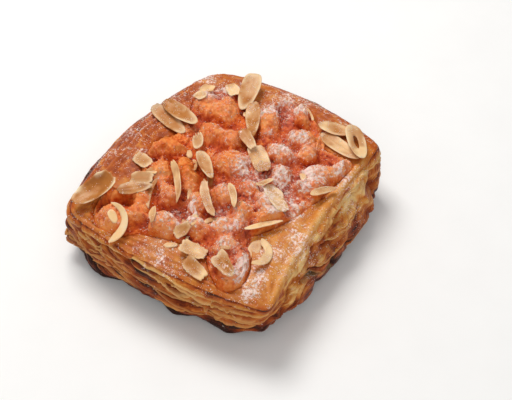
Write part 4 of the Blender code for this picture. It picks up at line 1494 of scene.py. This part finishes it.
@dataclass
class Leaves:
    """Thin leaves of pastry that lift off the side, each a narrow closed sheet with a torn edge."""

    count: int = 60
    columns: int = 40
    rows: int = 6
    thickness: float = 0.25 * MM
    seed: int = 5

    def random_line(self, draw: np.random.Generator, crust: Crust) -> tuple[Array, Array, float]:
        """Return the directions and heights along one scattered leaf, and its drop."""
        middle = math.radians(draw.uniform(45, 325))
        radius = float(np.interp(middle, crust.angles, crust.rim_radius))
        half_turn = draw.uniform(5, 16) * MM / radius
        along = np.linspace(-1, 1, self.columns)
        height = float(np.interp(middle, crust.angles, crust.rim_height)) * draw.uniform(0.25, 0.95)
        tilt = draw.uniform(-0.12, 0.12)
        return middle + along * half_turn, height + along * half_turn * radius * tilt, draw.uniform(1.5, 3.6) * MM

    def fold_line(self, fold: Fold) -> tuple[Array, Array, float]:
        """Return the directions and heights along a fold's sheet, and its drop."""
        turns = np.unwrap(np.radians([turn for turn, _ in fold.line]))
        marks = np.linspace(0, len(turns) - 1, self.columns)
        angle = np.interp(marks, np.arange(len(turns)), turns)
        height = np.interp(marks, np.arange(len(turns)), [height for _, height in fold.line])
        return angle, (height + fold.sheet) * MM, fold.sheet * MM

    def leaf(self, crust: Crust, line: tuple, draw: np.random.Generator, index: int) -> tuple:
        """Return one leaf's points, lip and shade on a grid of two faces."""
        angle, start, drop = line
        lift = draw.uniform(0.2, 0.9) * MM
        along = np.linspace(-1, 1, self.columns)
        down = np.linspace(0, 1, self.rows)[:, None]
        ring = np.stack([np.cos(angle), np.sin(angle), 0 * angle], -1) * 62 * MM + index * 0.03
        torn = 1 + 0.35 * noise(ring, 4 * MM, 81) + 0.3 * noise(ring, 1.4 * MM, 82)
        taper = np.sqrt(np.clip(1 - np.abs(along) ** 4, 0, 1))
        z = start - down * drop * torn * taper
        reach = crust.reach(np.broadcast_to(angle, z.shape), z)
        peak = np.maximum.accumulate(reach, axis=0)
        base = reach[:1] + (peak - reach[:1]) * step_between(0, 0.6, down)
        wave = 0.35 * MM * noise(np.stack([ring[:, 0] + 0 * z, ring[:, 1] + 0 * z, z], -1), 5 * MM, 83)
        out = base - (1.5 - 1.1 * taper) * MM + (down ** 1.5 * (lift + 0.6 * MM) + wave * down) * taper
        half = self.thickness / 2 * (1 - 0.5 * down)
        sides = []
        for sign in (1, -1):
            far = out + sign * half
            sides.append(np.stack([far * np.cos(angle), far * np.sin(angle), z], -1))
        share = np.clip(z / np.interp(angle, crust.angles, crust.rim_height, period=2 * math.pi), 0, 1)
        # The hanging edge of each leaf is paled, partly its own pale torn edge and partly painted highlight.
        lip_and_highlight = step_between(0.4, 1.0, down) * (0.25 + 0.75 * share ** 2)
        shade = 0.46 + 0.22 * (1 - share) + draw.uniform(-0.14, 0.1) - 0.12 * down
        return np.stack(sides), np.stack([lip_and_highlight, lip_and_highlight]), np.stack([shade, shade])

    def build(self, crust: Crust) -> bpy.types.Object:
        """Build the leaves as one joined piece."""
        draw = np.random.default_rng(self.seed)
        size = self.columns * self.rows
        top = grid_faces(self.rows, self.columns, False)
        points, faces, lips, shades = [], [], [], []
        edge = self.edge_loop()
        lines = [self.fold_line(fold) for fold in crust.folds if fold.sheet > 0]
        lines += [self.random_line(draw, crust) for _ in range(self.count)]
        for index, line in enumerate(lines):
            first = index * 2 * size
            sheet, lip_and_highlight, shade = self.leaf(crust, line, draw, index)
            points.append(sheet.reshape(-1, 3))
            lips.append(lip_and_highlight.ravel())
            shades.append(shade.ravel())
            faces += (top[:, ::-1] + first).tolist()
            faces += (top + first + size).tolist()
            for here, after in zip(edge, edge[1:] + edge[:1]):
                faces.append([first + here, first + after, first + size + after, first + size + here])
        points = held_inside(np.concatenate(points))
        points[:, 2] = np.maximum(points[:, 2], 0.3 * MM)
        marks = {"lip_and_highlight": np.concatenate(lips), "shade": np.concatenate(shades),
                 "sugar": sugar_density(points) * 0.8}
        piece = make_piece("flaky_leaves", points, faces, marks)
        return piece

    def edge_loop(self) -> list[int]:
        """Return the grid's border points in order."""
        index = np.arange(self.rows * self.columns).reshape(self.rows, self.columns)
        loop = [index[0, :-1], index[:-1, -1], index[-1, :0:-1], index[:0:-1, 0]]
        return [int(corner) for corner in np.concatenate(loop)]


# Icing sugar


@dataclass
class IcingSugar:
    """Loose grains and clumps of icing sugar, lying where the dusting is thickest."""

    grains: int = 15000
    smallest: float = 0.07 * MM
    largest: float = 0.27 * MM
    seed: int = 11

    def well_inside(self, place: Vector) -> bool:
        """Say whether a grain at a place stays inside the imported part's box."""
        return all(CAD_BOX[0][axis] + 0.5 * MM < place[axis] < CAD_BOX[1][axis] - 0.5 * MM for axis in range(3))

    def build(self, ground: Surfaces) -> bpy.types.Object:
        """Drop the grains on the ground surfaces as one joined piece."""
        draw = np.random.default_rng(self.seed)
        low, high = np.array(CAD_BOX[0]), np.array(CAD_BOX[1])
        places = []
        while len(places) < self.grains:
            batch = np.column_stack([draw.uniform(low[0], high[0], 4000),
                                     draw.uniform(low[1], high[1], 4000), np.full(4000, 0.036)])
            density = sugar_density(batch) ** 1.5
            fine = step_between(0.0, 0.5, noise(batch, 1.6 * MM, 92) + noise(batch, 4 * MM, 93))
            kept = batch[draw.uniform(0, 1, 4000) < density * (0.15 + 0.85 * fine)]
            for x, y, _ in kept:
                hit = ground.cast((x, y, ABOVE), (0, 0, -1))
                if hit is not None and hit.z > 8 * MM and self.well_inside(hit):
                    places.append(hit)
        places = np.array(places[:self.grains])
        corners = np.array([(1, 0, 0), (-1, 0, 0), (0, 1, 0), (0, -1, 0), (0, 0, 1), (0, 0, -1)])
        triangles = np.array([(0, 2, 4), (2, 1, 4), (1, 3, 4), (3, 0, 4),
                              (2, 0, 5), (1, 2, 5), (3, 1, 5), (0, 3, 5)])
        size = self.smallest + (self.largest - self.smallest) * draw.uniform(0, 1, self.grains) ** 2.5
        lumpy = draw.uniform(0.7, 1.25, (self.grains, 6, 1))
        flat = np.array([1.2, 1.2, 0.6])
        points = places[:, None, :] + corners[None] * lumpy * flat * size[:, None, None]
        points[..., 2] += 0.25 * size[:, None]
        faces = (triangles[None] + np.arange(self.grains)[:, None, None] * 6).reshape(-1, 3)
        piece = make_piece("icing_sugar", points.reshape(-1, 3), faces.tolist(), {})
        return piece


# The studio


@dataclass(frozen=True)
class Lamp:
    """A soft square lamp, aimed at the pastry."""

    name: str
    place: tuple[float, float, float]
    side: float
    power: float
    colour: tuple[float, float, float] = (1.0, 1.0, 1.0)

    def build(self) -> None:
        """Hang the lamp."""
        light = bpy.data.lights.new(self.name, "AREA")
        light.size = self.side
        light.energy = self.power
        light.color = self.colour
        lamp = bpy.data.objects.new(self.name, light)
        lamp.location = self.place
        lamp.rotation_euler = (-Vector(self.place)).to_track_quat("-Z", "Y").to_euler()
        bpy.context.scene.collection.objects.link(lamp)


@dataclass
class Studio:
    """The pale floor, the soft light and the camera."""

    azimuth: float = 35.0
    elevation: float = 49.0
    distance: float = 0.55
    lens: float = 80.0
    middle: tuple[float, float, float] = (-0.0002, -0.0053, 0.020)
    aim_right: float = 16.5 * MM
    aim_up: float = -1.0 * MM
    floor_side: float = 6.0
    daylight: float = 0.44
    lamps: tuple[Lamp, ...] = (
        Lamp("key", (-0.30, 0.15, 0.70), 0.34, 4.2, (1.0, 0.98, 0.95)),
        Lamp("fill", (0.45, -0.55, 0.45), 0.6, 1.35, (1.0, 0.97, 0.94)),
    )

    def build(self) -> None:
        """Set up the floor, light and camera."""
        self.build_floor()
        world = bpy.data.worlds.new("daylight")
        bpy.context.scene.world = world
        world.use_nodes = True
        world.node_tree.nodes["Background"].inputs["Color"].default_value = (1, 1, 1, 1)
        world.node_tree.nodes["Background"].inputs["Strength"].default_value = self.daylight
        for lamp in self.lamps:
            lamp.build()
        self.build_camera()
        bpy.context.scene.view_settings.view_transform = "Standard"

    def build_floor(self) -> None:
        """Lay the pale floor."""
        half = self.floor_side / 2
        corners = np.array([(-half, -half, 0), (half, -half, 0), (half, half, 0), (-half, half, 0)])
        floor = make_piece("floor", corners, [(0, 1, 2, 3)], {})
        made = bpy.data.materials.new("pale_floor")
        made.use_nodes = True
        shading = Shading(made.node_tree)
        shader = made.node_tree.nodes["Principled BSDF"]
        place = shading.node("ShaderNodeTexCoord").outputs["Object"]
        tone = shading.noise(place, 40.0, 4.0)
        shading.set(shader.inputs["Base Color"],
                    shading.ramp(tone, ((0.2, (0.90, 0.90, 0.895)), (0.8, (0.93, 0.93, 0.925)))))
        shader.inputs["Roughness"].default_value = 0.8
        floor.data.materials.append(made)

    def build_camera(self) -> None:
        """Place the camera."""
        turn, rise = math.radians(self.azimuth), math.radians(self.elevation)
        back = Vector((math.sin(turn) * math.cos(rise), -math.cos(turn) * math.cos(rise), math.sin(rise)))
        right = Vector((math.cos(turn), math.sin(turn), 0))
        up = back.cross(right)
        target = Vector(self.middle) + right * self.aim_right + up * self.aim_up
        lens = bpy.data.cameras.new("camera")
        lens.lens = self.lens
        lens.clip_start = 0.01
        camera = bpy.data.objects.new("camera", lens)
        camera.location = target + back * self.distance
        camera.rotation_euler = (-back).to_track_quat("-Z", "Y").to_euler()
        bpy.context.scene.collection.objects.link(camera)
        bpy.context.scene.camera = camera


def finish_pieces(pieces: list[bpy.types.Object], material: bpy.types.Material) -> None:
    """Give pieces their material and fix them to the pastry."""
    for piece in pieces:
        piece.data.materials.append(material)
        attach(piece, BODY)
        report(piece)


def main() -> None:
    """Build every piece and the studio."""
    logging.basicConfig(level=logging.INFO, format="%(message)s", stream=sys.stdout)
    groups = (sugar_dust_group(), fine_grain_group(), flaky_lines_group())
    crust_material = CRUST_FINISH.material(*groups)
    almond_material = ALMOND_FINISH.material(*groups)

    crust = Crust()
    shell = crust.build()
    flakes = build_flakes()
    paste = Paste().build(flakes)
    leaves = Leaves().build(crust)
    slivers = Slivers().build(Surfaces([paste, shell]))
    sugar = IcingSugar().build(Surfaces([paste, shell, leaves, slivers, *flakes]))

    finish_pieces([shell, leaves], crust_material)
    finish_pieces([paste], PASTE_FINISH.material(*groups))
    finish_pieces([*flakes, slivers], almond_material)
    finish_pieces([sugar], sugar_material())
    Studio().build()


if __name__ == "__main__":
    main()
